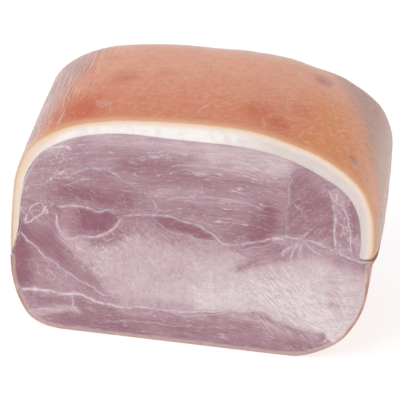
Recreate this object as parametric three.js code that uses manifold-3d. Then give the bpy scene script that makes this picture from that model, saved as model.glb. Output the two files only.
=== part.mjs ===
// A piece of boneless cooked ham, pressed in a mould and cut across: the lean, and over it the fat with
// its rind. Millimetres, +Z up. The cut faces -Y, the flat underside lies at z = 0, and the origin is the
// middle of the underside of the whole piece's box.
import * as THREE from "three";
import { mergeVertices } from "three/addons/utils/BufferGeometryUtils.js";
import Module from "manifold-3d";

const wasm = await Module();
wasm.setup();

// Driving sizes of the whole piece
const DEPTH = 124; // from the cut to the far end
const POLE_HEIGHT = 80; // height at which the far end closes
const ROUND = { left: 38, right: 32, top: 42, bottom: 22 }; // depth over which each side rounds into the end
const END_SQUARENESS = 2.8; // 2 is an ellipse, more is squarer
const BELLY = 0.011; // swelling of the width half way along
const SIDE_SHIFT = -2.5; // sideways drift of the far end
const TOP_RISE = 2.6; // rise of the crown towards the far end
const CROWN_FLAT = 0.8; // flattening of the crown at the far end
const CROWN_SHARPNESS = 6; // how narrowly that flattening keeps to the crown
const SHOULDER_GROWTH = 4.2; // the shoulders fill out by this towards the far end
const TWIST_DEG = 0.8; // turn of the crown between the cut and the far end
// The right side's swelling just behind the cut, from one height to another and up
const LIP = { size: 2.4, length: 5, from: 74, to: 80, sharpness: 3 };
const GAP = 0.3; // clearance between lean and fat
const RIM_GAP = 0.5; // and under the fat's rims

// The section at the cut, clockwise from the left rim of the fat: x, z and thickness of the fat with its rind
const DOME = [
  [-115, 54, 1.0],
  [-113.5, 76, 5.2],
  [-111, 97, 5.8],
  [-107, 118, 6.6],
  [-97, 138, 8.6],
  [-76, 153, 9.6],
  [-45, 161.5, 10.4],
  [-5, 164.5, 13.4],
  [35, 163.5, 13.4],
  [62, 157, 12],
  [85, 147.5, 12.6],
  [104, 132, 11],
  [113, 113, 9.8],
  [115.2, 92, 9.2],
  [114.6, 79.5, 8.4],
];
// and on round the bare lean: down the right side, under and up the left side
const BASE = [
  [112.6, 73],
  [112.6, 60],
  [109.5, 40],
  [99, 18.5],
  [87, 8],
  [72, 1],
  [60, 0],
  [20, 0],
  [-20, 0],
  [-60, 0],
  [-84, 0],
  [-95, 2],
  [-105, 8],
  [-112, 23],
  [-115, 40],
];
const RIM_ROUND = { left: 0.3, right: 2.6, columns: 2 }; // rounding of the fat's two rims
const BACK_FAT = { thickness: 9, from: 0.8 }; // on the far end, and the cosine at which it starts to even out
const THIN_FAT = DOME[0][2];
const CROWN_HEIGHT = Math.max(...DOME.map(([, z]) => z));

// Unevenness of the surface: amplitude and wavelengths along x, y and z, with a phase. It grows from
// nothing over a span above the floor and a span behind the cut.
const SWELL_ABOVE_FLOOR = [4, 30];
const SWELL_BEHIND_CUT = [0, 18];
const SWELLS = [
  { amplitude: 0.8, along: [64, 91, 70], phase: 0.4 },
  { amplitude: 0.5, along: [37, 46, 52], phase: 2.1 },
  { amplitude: 0.25, along: [23, 29, 19], phase: 4.0 },
];

// Seams between the muscles as they show on the cut, x and z, each a shallow groove
const GROOVE = { radius: 1.1, lift: 0.4, sides: 6, step: 6 }; // lift is how far its axis lies before the cut
const SEAMS = {
  waist: [[110, 77], [95, 81], [79, 88], [58, 89.5], [46, 85], [22, 80.5], [8, 91], [-10, 95], [-42, 93]],
  sliver: [[22, 80.5], [8, 81.5], [-10, 85], [-20, 94]],
  smallMuscle: [[-42, 93], [-47, 82], [-58, 75], [-78, 71.5], [-83, 80], [-81, 94], [-62, 96], [-42, 93]],
  upperMuscle: [[-84, 115], [-72, 118], [-59, 125], [-45, 122], [-27, 110], [-19, 101], [-24, 95]],
  bandLeft: [[-108, 73], [-93, 57], [-76, 44], [-56, 32], [-43, 26]],
  bandRight: [[-82, 94], [-80, 71], [-66, 52], [-54, 34]],
  floor: [[-110, 27], [-90, 28.5], [-74, 29], [-52, 23.5], [-10, 24], [36, 30], [50, 30], [66, 23], [84, 20]],
  toe: [[-75, 28], [-77, 18], [-101, 12]],
  block: [[63, 132], [61, 112], [60, 90]],
  strip: [[86, 124], [89.5, 106], [90, 85]],
};

// Fineness of the mesh
const CAP_COLUMNS = 62;
const BASE_COLUMNS = 46;
const STRAIGHT_RINGS = 9;
const ROUND_RINGS = 9;
const CUT_RINGS = 6;
const STATION_SAMPLES = 1200;

// The middle of the cut, towards which its rings shrink, and how the lean draws back there in gentle waves
const CUT_CENTRE = new THREE.Vector3(0, 0, 66);
const CUT_HOLLOW = { depth: 0.5, waves: [107, 82], margin: 0.2 };

const POLE = new THREE.Vector3(SIDE_SHIFT, DEPTH, POLE_HEIGHT); // where the far end closes
const LAST_TURN = Math.PI / 2 - 1e-6; // a ring turned further than this has closed to the pole
const STEEPEST_TURN = 1.5; // directions are measured no nearer to the pole than this
const RIM_EASE = 0.02; // the fat's thickness is laid off square to the section this far inside its rims
const WELD = 1e-3;

const positive = (v) => Math.max(v, 0);
const mix = (a, b, share) => a + (b - a) * share;
const smooth = (low, high, v) => THREE.MathUtils.smoothstep(v, low, high);

// The section's curve, from 0 at the left rim of the fat to 1 back at it. y carries the thickness of the fat.
const section = new THREE.CatmullRomCurve3(
  [...DOME, ...BASE.map(([x, z]) => [x, z, 0])].map(([x, z, fat]) => new THREE.Vector3(x, fat, z)),
  true,
  "centripetal",
);
const RIGHT_RIM = (DOME.length - 1) / (DOME.length + BASE.length);

// A place on the section with its thickness of fat as y
const onSection = (t) => section.getPoint(THREE.MathUtils.euclideanModulo(t, 1));

// The same place as x and z alone, kept above the floor
function flat(t) {
  const p = onSection(t);
  return new THREE.Vector2(p.x, Math.max(p.z, 0));
}

// Point, outward direction and fat thickness at one place on the section
function column(t) {
  const step = 1e-3;
  const ahead = flat(t + step);
  const behind = flat(t - step);
  const outward = new THREE.Vector2(behind.y - ahead.y, ahead.x - behind.x).normalize();
  return { point: flat(t), outward, fat: Math.max(onSection(t).y, THIN_FAT) };
}

// Evenly spaced places along the section between two places on it, with reach in mm added at each end
function stations(from, to, count, reach) {
  const placeOf = (share) => mix(from, to, share / STATION_SAMPLES);
  const lengths = [0];
  for (let i = 1; i <= STATION_SAMPLES; i++)
    lengths.push(lengths[i - 1] + flat(placeOf(i)).distanceTo(flat(placeOf(i - 1))));
  const whole = lengths[STATION_SAMPLES] + 2 * reach;
  const found = [];
  for (let j = 0; j <= count; j++) {
    const at = (whole * j) / count - reach;
    let i = 1;
    while (i < STATION_SAMPLES && lengths[i] < at) i++;
    found.push(placeOf(i - 1 + (at - lengths[i - 1]) / (lengths[i] - lengths[i - 1])));
  }
  return found;
}

// Gentle unevenness, none near the flat underside and none at the cut
function swell(p) {
  const wave = (v, length, phase) => Math.sin((2 * Math.PI * v) / length + phase);
  let sum = 0;
  for (const { amplitude, along, phase } of SWELLS) {
    const across = wave(p.x, along[0], phase) * wave(p.z, along[2], 3 * phase);
    sum += amplitude * across * wave(p.y, along[1], 2 * phase);
  }
  return sum * smooth(...SWELL_ABOVE_FLOOR, p.z) * smooth(...SWELL_BEHIND_CUT, p.y);
}

// How far the far end rounds over at a column, by which way the section faces there
function roundingOf({ outward }) {
  const side = outward.x > 0 ? ROUND.right : ROUND.left;
  const upOrDown = outward.y > 0 ? ROUND.top : ROUND.bottom;
  return side * outward.x ** 2 + upOrDown * outward.y ** 2;
}

// A point of the outer body: a column of the section, carried back to a ring. straight goes from 0 to 1 over
// the part with walls, and turn from 0 to a quarter turn over the rounded end. proud moves it outwards.
function bodyPoint(col, { straight, turn }, proud = 0) {
  if (turn > LAST_TURN) return POLE.clone();
  const { point, outward } = col;
  const round = roundingOf(col);
  const shrink = Math.cos(turn) ** (2 / END_SQUARENESS);
  const y = (DEPTH - round) * straight + round * Math.sin(turn) ** (2 / END_SQUARENESS);
  const along = y / DEPTH;
  const shoulder = 2 * Math.abs(outward.x) * positive(outward.y);
  const crown = positive(outward.y) ** CROWN_SHARPNESS;
  const lipHere = positive(outward.x) ** LIP.sharpness * smooth(LIP.from, LIP.to, point.y);
  const lip = LIP.size * lipHere * (1 - Math.exp(-y / LIP.length));
  const push = along * (SHOULDER_GROWTH * shoulder - CROWN_FLAT * crown) + lip + proud;
  const x = point.x * (1 + BELLY * Math.sin(Math.PI * along)) + outward.x * push;
  const rise = TOP_RISE - Math.sin(THREE.MathUtils.degToRad(TWIST_DEG)) * point.x;
  const z = point.y + outward.y * push + along * rise * Math.min(point.y / CROWN_HEIGHT, 1);
  const p = new THREE.Vector3(x * shrink + SIDE_SHIFT * along, y, mix(POLE_HEIGHT, z, shrink));
  const bump = swell(p) * Math.min(1, shrink * 2);
  p.x += outward.x * bump;
  p.z = Math.max(0, p.z + outward.y * bump);
  return p;
}

// Every ring from the cut to the pole
const RINGS = [];
for (let i = 0; i < STRAIGHT_RINGS; i++) RINGS.push({ straight: i / STRAIGHT_RINGS, turn: 0 });
for (let i = 0; i <= ROUND_RINGS; i++) RINGS.push({ straight: 1, turn: (Math.PI / 2) * (i / ROUND_RINGS) });

// The direction out of the body at a place and ring, measured across the places and rings beside it
function outOf(t, ring) {
  if (ring.turn > LAST_TURN) return new THREE.Vector3(0, 1, 0);
  const step = 2e-3;
  const nudge = 0.02;
  const place = THREE.MathUtils.clamp(t, RIM_EASE, RIGHT_RIM - RIM_EASE);
  const turn = Math.min(ring.turn, STEEPEST_TURN);
  const here = { straight: ring.straight, turn };
  const before = { straight: positive(ring.straight - nudge), turn: positive(turn - nudge) };
  const rounding = ring.straight === 1;
  const after = { straight: rounding ? 1 : ring.straight + nudge, turn: rounding ? turn + nudge : 0 };
  const forward = bodyPoint(column(place), after).sub(bodyPoint(column(place), before));
  const across = bodyPoint(column(place + step), here).sub(bodyPoint(column(place - step), here));
  const out = across.cross(forward).normalize();
  return ring.straight === 0 ? out.setY(0).normalize() : out;
}

// The fat's thickness at a ring: as on the section at the cut, and even over the far end
const fatAt = (fat, ring) => mix(BACK_FAT.thickness, fat, smooth(0, BACK_FAT.from, Math.cos(ring.turn)));

// A grid of points, one row for each ring. proud moves the skin outwards at a column, inset inwards at a
// column and ring, and rise lifts it towards the pole.
function skin(places, { proud = () => 0, inset = () => 0, rise = 0 }) {
  return RINGS.map((ring) =>
    places.map((t, i) => {
      const col = column(t);
      const p = bodyPoint(col, ring, proud(i));
      const depth = inset(col.fat, ring);
      if (depth > 0) p.addScaledVector(outOf(t, ring), -depth);
      if (ring.straight === 0) p.y = 0;
      p.z += rise * (1 - Math.cos(ring.turn));
      return p;
    }),
  );
}

// Collects triangles and closes them into one geometry, dropping those that collapse at the pole
class Shell {
  constructor() {
    this.corners = [];
  }
  triangle(a, b, c) {
    const shortest = Math.min(a.distanceTo(b), b.distanceTo(c), c.distanceTo(a));
    if (shortest > WELD / 10) this.corners.push(a, b, c);
  }
  // Two rows of points of the same length. turned faces it the other way, with the same diagonals.
  strip(low, high, { closed = false, turned = false } = {}) {
    const last = closed ? low.length : low.length - 1;
    for (let i = 0; i < last; i++) {
      const j = (i + 1) % low.length;
      const [a, b, c, d] = [low[i], low[j], high[j], high[i]];
      this.triangle(...(turned ? [a, c, b] : [a, b, c]));
      this.triangle(...(turned ? [a, d, c] : [a, c, d]));
    }
  }
  geometry() {
    const merged = mergeVertices(new THREE.BufferGeometry().setFromPoints(this.corners), WELD);
    merged.computeVertexNormals();
    return merged;
  }
}

// The cut across the lean: rings shrinking towards its middle, drawn back a little in waves
function cutFace(shell, edge) {
  const { depth, waves, margin } = CUT_HOLLOW;
  const turn = 2 * Math.PI;
  let outer = edge;
  for (let k = 1; k <= CUT_RINGS; k++) {
    const share = 1 - k / CUT_RINGS;
    const inner = edge.map((p) => CUT_CENTRE.clone().lerp(p, share));
    for (const p of inner) {
      const wave = 0.5 + 0.5 * Math.sin((turn * p.x) / waves[0] + 1) * Math.sin((turn * p.z) / waves[1]);
      p.y = depth * wave * smooth(0, margin, 1 - share);
    }
    shell.strip(inner, outer, { closed: true });
    outer = inner;
  }
}

// One seam's groove, as a solid to take away
function groove(seam) {
  const points = seam.map(([x, z]) => new THREE.Vector3(x, -GROOVE.lift, z));
  const path = new THREE.CatmullRomCurve3(points, false, "centripetal");
  const corners = [];
  for (let i = 0; i < GROOVE.sides; i++) {
    const turn = (2 * Math.PI * i) / GROOVE.sides;
    corners.push(new THREE.Vector2(GROOVE.radius * Math.cos(turn), GROOVE.radius * Math.sin(turn)));
  }
  const steps = Math.ceil(path.getLength() / GROOVE.step);
  const along = { steps, bevelEnabled: false, extrudePath: path };
  return new THREE.ExtrudeGeometry(new THREE.Shape(corners), along);
}

function toSolid(geometry) {
  const bare = new THREE.BufferGeometry().setAttribute("position", geometry.getAttribute("position"));
  if (geometry.index) bare.setIndex(geometry.index);
  const merged = mergeVertices(bare, WELD);
  const vertProperties = new Float32Array(merged.getAttribute("position").array);
  const triVerts = new Uint32Array(merged.index.array);
  return new wasm.Manifold(new wasm.Mesh({ numProp: 3, vertProperties, triVerts }));
}

function toGeometry(solid) {
  const mesh = solid.getMesh();
  const geometry = new THREE.BufferGeometry();
  geometry.setAttribute("position", new THREE.BufferAttribute(mesh.vertProperties, 3));
  geometry.setIndex(new THREE.BufferAttribute(mesh.triVerts, 1));
  geometry.computeVertexNormals();
  return geometry;
}

// The lean: bare at the base, and set in under the fat
function lean() {
  const under = stations(0, RIGHT_RIM, CAP_COLUMNS, RIM_GAP);
  const bare = stations(RIGHT_RIM, 1, BASE_COLUMNS, -RIM_GAP);
  const setIn = skin(under, { inset: (fat, ring) => fatAt(fat, ring) + GAP });
  const open = skin(bare, {});
  const rings = setIn.map((row, r) => [...row, ...open[r]]);
  const shell = new Shell();
  for (let r = 1; r < rings.length; r++) shell.strip(rings[r - 1], rings[r], { closed: true });
  cutFace(shell, rings[0]);
  let solid = toSolid(shell.geometry());
  for (const seam of Object.values(SEAMS)) solid = solid.subtract(toSolid(groove(seam)));
  return toGeometry(solid);
}

// The fat with its rind: a cap over the lean, its rims rounded over their last columns
function fatCap() {
  const over = stations(0, RIGHT_RIM, CAP_COLUMNS, 0);
  const nearEdge = (columns) => 1 - smooth(0, RIM_ROUND.columns, columns);
  const rounding = (i) => -RIM_ROUND.left * nearEdge(i) - RIM_ROUND.right * nearEdge(CAP_COLUMNS - i);
  const outside = skin(over, { proud: rounding, rise: GAP });
  const inside = skin(over, { inset: fatAt, rise: GAP });
  const middle = outside.map((row, r) => row.map((p, i) => p.clone().lerp(inside[r][i], 0.5)));
  const shell = new Shell();
  const rim = (r, i) => [outside[r][i], middle[r][i], inside[r][i]];
  for (let r = 1; r < outside.length; r++) {
    shell.strip(outside[r - 1], outside[r]);
    shell.strip(inside[r - 1], inside[r], { turned: true });
    shell.strip(rim(r - 1, 0), rim(r, 0), { turned: true });
    shell.strip(rim(r - 1, CAP_COLUMNS), rim(r, CAP_COLUMNS));
  }
  shell.strip(middle[0], outside[0]);
  shell.strip(inside[0], middle[0]);
  return shell.geometry();
}

function piece(name, geometry, colour, roughness) {
  const material = new THREE.MeshStandardMaterial({ color: colour, roughness, metalness: 0 });
  const mesh = new THREE.Mesh(geometry, material);
  mesh.name = name;
  return mesh;
}

const ham = new THREE.Group();
ham.add(piece("lean", lean(), 0xb5929f, 0.45));
ham.add(piece("fat_with_rind", fatCap(), 0xd8906f, 0.4));

// Move the middle of the underside of the box to the origin
const box = new THREE.Box3().setFromObject(ham, true);
const middle = box.getCenter(new THREE.Vector3());
for (const mesh of ham.children) mesh.geometry.translate(-middle.x, -middle.y, -box.min.z);

export default ham;
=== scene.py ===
"""A piece of boneless cooked ham, cut across: its looks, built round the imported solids.

The properties hold lengths in metres. The functions that work out points take millimetres, measured from
the middle of the cut: x to the right, y back from the cut, z up from the underside.
"""
from math import cos, pi, radians, sin

import bpy
import numpy as np
from bpy.props import FloatProperty, FloatVectorProperty, IntProperty, PointerProperty
from bpy.types import Operator, Panel, PropertyGroup
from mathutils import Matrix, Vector


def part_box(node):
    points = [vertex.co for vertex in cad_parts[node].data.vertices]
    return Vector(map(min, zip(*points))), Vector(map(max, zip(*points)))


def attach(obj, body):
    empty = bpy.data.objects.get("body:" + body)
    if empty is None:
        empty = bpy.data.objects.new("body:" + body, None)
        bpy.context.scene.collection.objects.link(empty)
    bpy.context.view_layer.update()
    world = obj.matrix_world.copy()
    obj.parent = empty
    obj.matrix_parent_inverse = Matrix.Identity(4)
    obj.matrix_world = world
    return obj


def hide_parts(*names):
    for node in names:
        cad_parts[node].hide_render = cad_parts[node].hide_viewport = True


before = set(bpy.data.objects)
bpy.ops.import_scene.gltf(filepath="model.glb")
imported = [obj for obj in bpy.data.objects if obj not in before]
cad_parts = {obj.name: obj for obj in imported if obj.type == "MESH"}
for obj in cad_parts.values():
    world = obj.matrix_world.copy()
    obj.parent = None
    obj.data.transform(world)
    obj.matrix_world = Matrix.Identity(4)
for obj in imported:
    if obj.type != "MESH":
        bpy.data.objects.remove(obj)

bl_info = {
    "name": "Boneless cooked ham",
    "version": (1, 0, 0),
    "blender": (4, 5, 0),
    "location": "3D View > Sidebar > Ham",
    "description": "Builds a cut piece of cooked ham with its fat and rind, and the stage it stands on",
    "category": "Object",
}

PER_METRE = 1000  # millimetres
# Large odd numbers that mix up the cells of the noise
HASH_PRIMES = np.array([73856093, 19349663, 83492791])
HASH_SEED = 2654435761
HASH_MIX = 1274126177

# The section at the cut, clockwise from the left rim of the fat: x, z and thickness of the fat with its rind
DOME = [
    (-115, 54, 1.0),
    (-113.5, 76, 5.2),
    (-111, 97, 5.8),
    (-107, 118, 6.6),
    (-97, 138, 8.6),
    (-76, 153, 9.6),
    (-45, 161.5, 10.4),
    (-5, 164.5, 13.4),
    (35, 163.5, 13.4),
    (62, 157, 12),
    (85, 147.5, 12.6),
    (104, 132, 11),
    (113, 113, 9.8),
    (115.2, 92, 9.2),
    (114.6, 79.5, 8.4),
]
# and on round the bare lean: down the right side, under and up the left side
BASE = [
    (112.6, 73),
    (112.6, 60),
    (109.5, 40),
    (99, 18.5),
    (87, 8),
    (72, 1),
    (60, 0),
    (20, 0),
    (-20, 0),
    (-60, 0),
    (-84, 0),
    (-95, 2),
    (-105, 8),
    (-112, 23),
    (-115, 40),
]
SECTION = np.array([(x, fat, z) for x, z, fat in DOME] + [(x, 0, z) for x, z in BASE], float)
RIGHT_RIM = (len(DOME) - 1) / len(SECTION)
THIN_FAT = DOME[0][2]
CROWN_HEIGHT = max(z for _, z, _ in DOME)

# How the body changes from the cut to the far end: as in the solids, but with a gentler swell
END_SQUARENESS = 2.8
BELLY = 0.011
TOP_RISE = 2.6
CROWN_FLAT = 0.8
CROWN_SHARPNESS = 6
SHOULDER_GROWTH = 4.2
TWIST_DEG = 0.8
# The fat's rim on the right stands proud of the lean, except at the cut
LIP = {"size": 2.4, "length": 5, "heights": (74, 80), "sharpness": 3}
SWELL_ABOVE_FLOOR = (4, 30)
SWELL_BEHIND_CUT = (0, 18)
SWELLS = [
    {"amplitude": 0.3, "along": (64, 91, 70), "phase": 0.4},
    {"amplitude": 0.2, "along": (37, 46, 52), "phase": 2.1},
    {"amplitude": 0.1, "along": (23, 29, 19), "phase": 4.0},
]
BACK_FAT_FROM = 0.8  # the cosine of the turn at which the fat starts to even out
# How slopes of the body are measured: steps along the section and backwards, and how near to the pole and
# to the fat's rims
PLACE_STEP = 1e-3
OUT_STEP = 2e-3
NUDGE = 0.02
STEEPEST_TURN = 1.5
RIM_EASE = 0.02

CUT_WAVES = {"depth": 0.5, "lengths": (107, 82)}  # broad waves of the cut, in millimetres

# Noise that shapes the surfaces: size of its cells in millimetres and seed
CUT_RIDGES = (2.1, 3)
CUT_PITS = (5.5, 8)
RIND_DENTS = (31.0, 11)
RIND_DIMPLES = (9.0, 12)
RIND_RIDGES = {"round": 16, "back": 2.4, "seed": 13}
FAT_LINES = {"round": 24, "deep": 2.2, "seed": 21}
FAT_LUMPS = (6.0, 22)
CROWN_FALL = 4  # distance over which a muscle rises from its edge
CUT_DROP = 0.35  # how far the lean's cut lies behind its edge at least
CUT_DROP_WITHIN = 1.5
RELIEF_WITHIN = 3  # the relief of the cut is full this far from its edge
FAT_ENDS = (0.12, 0.1)  # shares of the fat's thickness next to the rind and the lean over which it evens out

# Fineness of the meshes
STATION_SAMPLES = 1200
RING_CROWDING = 1.3  # above 1 the rings stand closer towards the cut and the start of the rounding
EDGE_RINGS = (0.0, 0.12, 0.35, 0.8, 1.4)  # millimetres behind the cut
WELD = 1e-4  # points closer than this, in millimetres, are one
PATCH_CORNERS = [(-98, 126), (97.5, 126)]  # where the grid that fills the cut has its upper corners

# Finish of the lean and the fat alike
SPECULAR = 0.35
SCATTER_SIZE = 0.003  # metres

WHITE = (1.0, 1.0, 1.0, 1.0)

# Lights, in metres of the frame
LIGHT_TARGET = (0.0, 0.0, 0.08)
KEY_PLACE = (-0.7, -0.9, 1.5)
KEY_SIZE = 1.1
FILL_PLACE = (1.4, -0.5, 0.9)
FILL_SIZE = 1.0

# Muscles on the cut, laid over one another in this order on the pale muscle of the middle. tone runs from 0,
# pale, to 1, dark; slant is the fibres' direction in degrees, stretch how long they are against their width,
# wet how many painted glints of moisture shine on them, and softness how far in millimetres their edges
# blend.
MUSCLES = {
    "upper": {
        "outline": [(130, 77), (103, 78), (80, 88), (58, 89.5), (46, 85), (22, 80.5), (8, 91), (-10, 95.5),
                    (-30, 94.5), (-42, 93), (-62, 96), (-81, 94), (-100, 90), (-130, 96), (-130, 190),
                    (130, 190)],
        "tone": 0.62, "slant": 0, "stretch": 12, "wet": 0.6, "arched": True,
    },
    "sliver": {
        "outline": [(22, 80.5), (8, 91), (-10, 95), (-20, 95.5), (-17, 89), (-8, 84.5), (8, 81.4)],
        "tone": 0.82, "slant": 15, "stretch": 8, "wet": 0.2, "softness": 1.8,
    },
    "block": {
        "outline": [(63.5, 134), (62, 120), (61.2, 108), (60, 91), (72, 88.5), (84, 85), (90.5, 88),
                    (89.6, 106), (87, 120), (85, 128), (75, 140)],
        "tone": 0.8, "slant": 46, "stretch": 7, "wet": 0.35, "softness": 2.6,
    },
    "right strips": {
        "outline": [(85, 128), (88.4, 115), (89.6, 106), (90.3, 84), (112, 77), (112, 110), (100, 124)],
        "tone": 0.63, "slant": 97, "stretch": 6, "wet": 0.7,
    },
    "upper lens": {
        "outline": [(-84, 114), (-79, 116), (-72, 118.5), (-65, 123), (-59, 125), (-53, 124.7),
                    (-41, 120.3), (-33, 115), (-21.5, 105.5), (-19.5, 101), (-22, 96.5), (-30, 94.4),
                    (-42, 93.5), (-62, 96.4), (-81, 95), (-88, 104)],
        "tone": 0.68, "slant": -7, "stretch": 7, "wet": 0.35, "softness": 2.5,
    },
    "small lens": {
        "outline": [(-82.5, 88), (-83.3, 80.5), (-81, 75), (-78, 71.8), (-73.8, 71.7), (-67, 73.6),
                    (-58, 75.3), (-50.4, 79.2), (-45.3, 84.6), (-42.2, 91), (-45.8, 94.4), (-50.7, 95.1),
                    (-57, 94.3), (-62, 96), (-68.6, 95.7), (-73.5, 96.4), (-80, 95.1)],
        "tone": 0.68, "slant": 10, "stretch": 3, "wet": 0.15,
    },
    "band": {
        "outline": [(-130, 96), (-83, 95), (-83.3, 80.5), (-79.2, 70.6), (-76.6, 65), (-72, 59),
                    (-65.5, 52), (-60.7, 46), (-56.7, 39.5), (-54.4, 35), (-47, 27), (-62, 34.6),
                    (-76, 43.7), (-86.5, 52), (-98.5, 63), (-108, 73.5), (-130, 82)],
        "tone": 0.8, "slant": -47, "stretch": 9, "wet": 0.1, "softness": 1.5,
    },
    "left triangle": {
        "outline": [(-108, 73.5), (-98.5, 63), (-86.5, 52), (-76, 43.7), (-62, 34.6), (-45, 27.5),
                    (-52, 23.5), (-66, 27), (-73, 29.5), (-90, 28), (-110, 26.6), (-130, 24), (-130, 80)],
        "tone": 0.6, "slant": -42, "stretch": 1.6, "wet": 0.25,
    },
    "bottom": {
        "outline": [(-73, 29.5), (-60, 25), (-43, 22.4), (-14, 23.6), (17.6, 27.8), (44.6, 31), (51, 29.6),
                    (58, 25.7), (67, 22.7), (83, 20.7), (88, 17), (92, -12), (-130, -12), (-130, 10),
                    (-101, 11.5), (-91, 14.7), (-78, 17), (-75, 22.7)],
        "tone": 0.73, "slant": 0, "stretch": 8, "wet": 0.45, "drooping": True,
    },
    "toe": {
        "outline": [(-77, 27), (-75, 22.7), (-78, 17), (-91, 14.7), (-101.6, 11.5), (-130, 8), (-130, 25),
                    (-110, 26.6), (-90, 28)],
        "tone": 0.65, "slant": -5, "stretch": 3, "wet": 0.3,
    },
    "leaf": {
        "outline": [(27, 78.3), (45, 83.5), (63, 88.8), (64.8, 85.4), (60.4, 78.3), (55.8, 73),
                    (46.3, 69.8), (36.9, 64.8), (32, 62), (38, 67.5), (43, 71.5)],
        "tone": 0.62, "slant": 28, "stretch": 5, "wet": 0.2, "softness": 2.4,
    },
}
# Tone of the pale muscle in the middle, by places on the cut
PALE_TONES = [
    ((-45, 56), 0.33),
    ((-22, 48), 0.26),
    ((-12, 66), 0.36),
    ((18, 64), 0.27),
    ((22, 44), 0.10),
    ((52, 46), 0.08),
    ((58, 66), 0.26),
    ((74, 36), -0.04),
    ((78, 58), 0.14),
    ((100, 42), 0.14),
    ((102, 60), 0.22),
]
PALE_REACH = 17
PALE_WET = 0.25
PALE_SLANT = {"from": 40, "to": 95, "stretch": 0.35}  # its grain turns and grows longer to the right
INNERMOST = 30.0  # depth within a muscle, where none is laid over the pale one
MUSCLE_BLEND = 0.9  # how far a muscle's edge blends where nothing is given
SHARP_BLEND = 2  # muscles that blend over less than this stand proud of their edges

# Soft strokes that lighten or darken the muscles: points on the cut, reach in millimetres, tone and strength.
# Most give the muscles' own tone; some are painted light: a painted highlight on the upper muscle, and
# painted shade under the small lens and along the waist.
SHADES = {
    "under the fat": ([(-86, 137), (-62, 145), (-34, 149), (0, 148), (30, 148), (56, 143)], 6, 0.3, 0.8),
    "under the fat right": ([(66, 140), (80, 130), (94, 119)], 4, 0.46, 0.7),
    # painted highlight: a pale stroke for the sheen of light on the moist fibres of the upper muscle
    "upper shine": ([(16, 142), (34, 141), (55, 140)], 9, 0.22, 0.85),
    "upper stripe": ([(-36, 129), (-22, 128), (-10, 127)], 7.5, 0.84, 0.85),
    "bright end": ([(44, 125), (46, 112)], 6.5, 0.46, 0.75),
    "stripe's tail": ([(-12, 126), (16, 123.5), (45, 121)], 5, 0.76, 0.75),
    "middle light": ([(-18, 112), (4, 110), (36, 112)], 6, 0.56, 0.6),
    "low stripe": ([(-14, 100), (16, 101), (38, 104)], 5, 0.74, 0.7),
    "upper left": ([(-64, 139), (-82, 128), (-94, 114), (-99, 98)], 9, 0.62, 0.75),
    "margin left": ([(-105, 80), (-103.5, 100), (-99, 118), (-91, 131), (-78, 141)], 3, 0.44, 0.6),
    "lens heart": ([(-76, 106), (-56, 104), (-38, 103)], 7.5, 0.96, 0.9),
    "lens floor": ([(-78, 97), (-46, 96.4), (-24, 97.5)], 2.6, 0.56, 0.7),
    "small lens heart": ([(-61, 86.5), (-53, 87)], 8.5, 1.15, 1.0),
    "small lens rim": ([(-80, 76), (-72, 73), (-60, 76)], 3.2, 0.58, 0.7),
    # painted shadow under the rim of the small lens
    "painted shadow under small lens": ([(-60, 72), (-50, 74), (-42, 81), (-37, 89)], 5, 0.84, 0.85),
    # painted shade: this stroke and the three pale roof strokes below darken the pale muscle along the waist
    # seam
    "painted shade under waist": ([(-36, 92), (-26, 92), (-14, 90)], 4, 0.86, 0.85),
    "pale roof left": ([(-34, 86), (-24, 85), (-4, 81)], 7, 0.66, 0.85),
    "pale roof": ([(4, 78), (21, 77), (40, 78.5)], 7, 0.5, 0.85),
    "pale roof right": ([(56, 80), (66, 81.5), (80, 83), (100, 77), (113, 72)], 7.5, 0.62, 0.9),
    "pale left side": ([(-78, 72), (-70, 61), (-61, 49), (-54, 38)], 6, 0.42, 0.8),
    "pale floor": ([(-46, 28.5), (-20, 28), (0, 29.5)], 4.2, 0.46, 0.8),
    "pale floor right": ([(27, 34), (40, 35), (58, 31), (74, 26)], 5, 0.16, 0.8),
    "pale crease": ([(90, 64), (91.5, 54), (92.5, 43)], 4, 0.34, 0.75),
    "sliver heart": ([(-17, 91.5), (0, 88), (14, 84.5)], 3.4, 1.0, 0.95),
    "leaf shade": ([(30, 80), (46, 80.5), (58, 83)], 3.5, 0.72, 0.75),
    "leaf tip": ([(34, 64), (42, 69), (54, 74), (64, 76)], 4.5, 0.68, 0.85),
    "dark patch": ([(49, 107), (48, 96), (43, 89)], 8, 1.06, 1.0),
    "dark patch left": ([(26, 88), (36, 91), (42, 95)], 6, 0.84, 0.8),
    "block heart": ([(72, 130), (71, 112), (78, 100)], 7, 0.84, 0.6),
    "block floor": ([(62, 91), (76, 90), (88, 92)], 3, 0.62, 0.7),
    "right corner": ([(70, 86.5), (88, 85), (103, 80.5), (113, 76)], 3.6, 0.48, 0.8),
    "dark strip": ([(101, 118), (101.5, 108), (102, 98)], 3, 0.92, 0.9),
    "band core": ([(-97, 74), (-82, 61)], 6, 0.86, 0.7),
    "band tail": ([(-70, 46), (-62, 38)], 6, 0.68, 0.7),
    "band top": ([(-98, 93), (-92, 86)], 8, 0.62, 0.8),
    "triangle middle": ([(-96, 41), (-76, 39)], 9, 0.55, 0.7),
    "left edge": ([(-111, 76), (-108, 61), (-109, 38)], 8, 1.06, 0.95),
    "bottom left": ([(-80, 9), (-56, 10), (-36, 8)], 7, 0.88, 0.85),
    "bottom middle": ([(2, 12), (22, 12)], 9, 0.83, 0.75),
    "bottom right": ([(58, 9), (76, 8)], 6, 0.8, 0.6),
    "bottom roof": ([(-40, 21), (-10, 21.5), (10, 23)], 4.5, 0.54, 0.8),
    "bottom roof right": ([(22, 24), (40, 26.5), (58, 22)], 4.5, 0.42, 0.8),
    "bottom tail": ([(50, 17), (64, 19), (82, 16)], 5, 0.48, 0.8),
    "toe heart": ([(-98, 21.4), (-84, 22)], 3, 0.78, 0.8),
    "toe floor": ([(-106, 10), (-92, 13), (-80, 16.6), (-73, 16)], 2.8, 0.26, 0.9),
}

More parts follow.
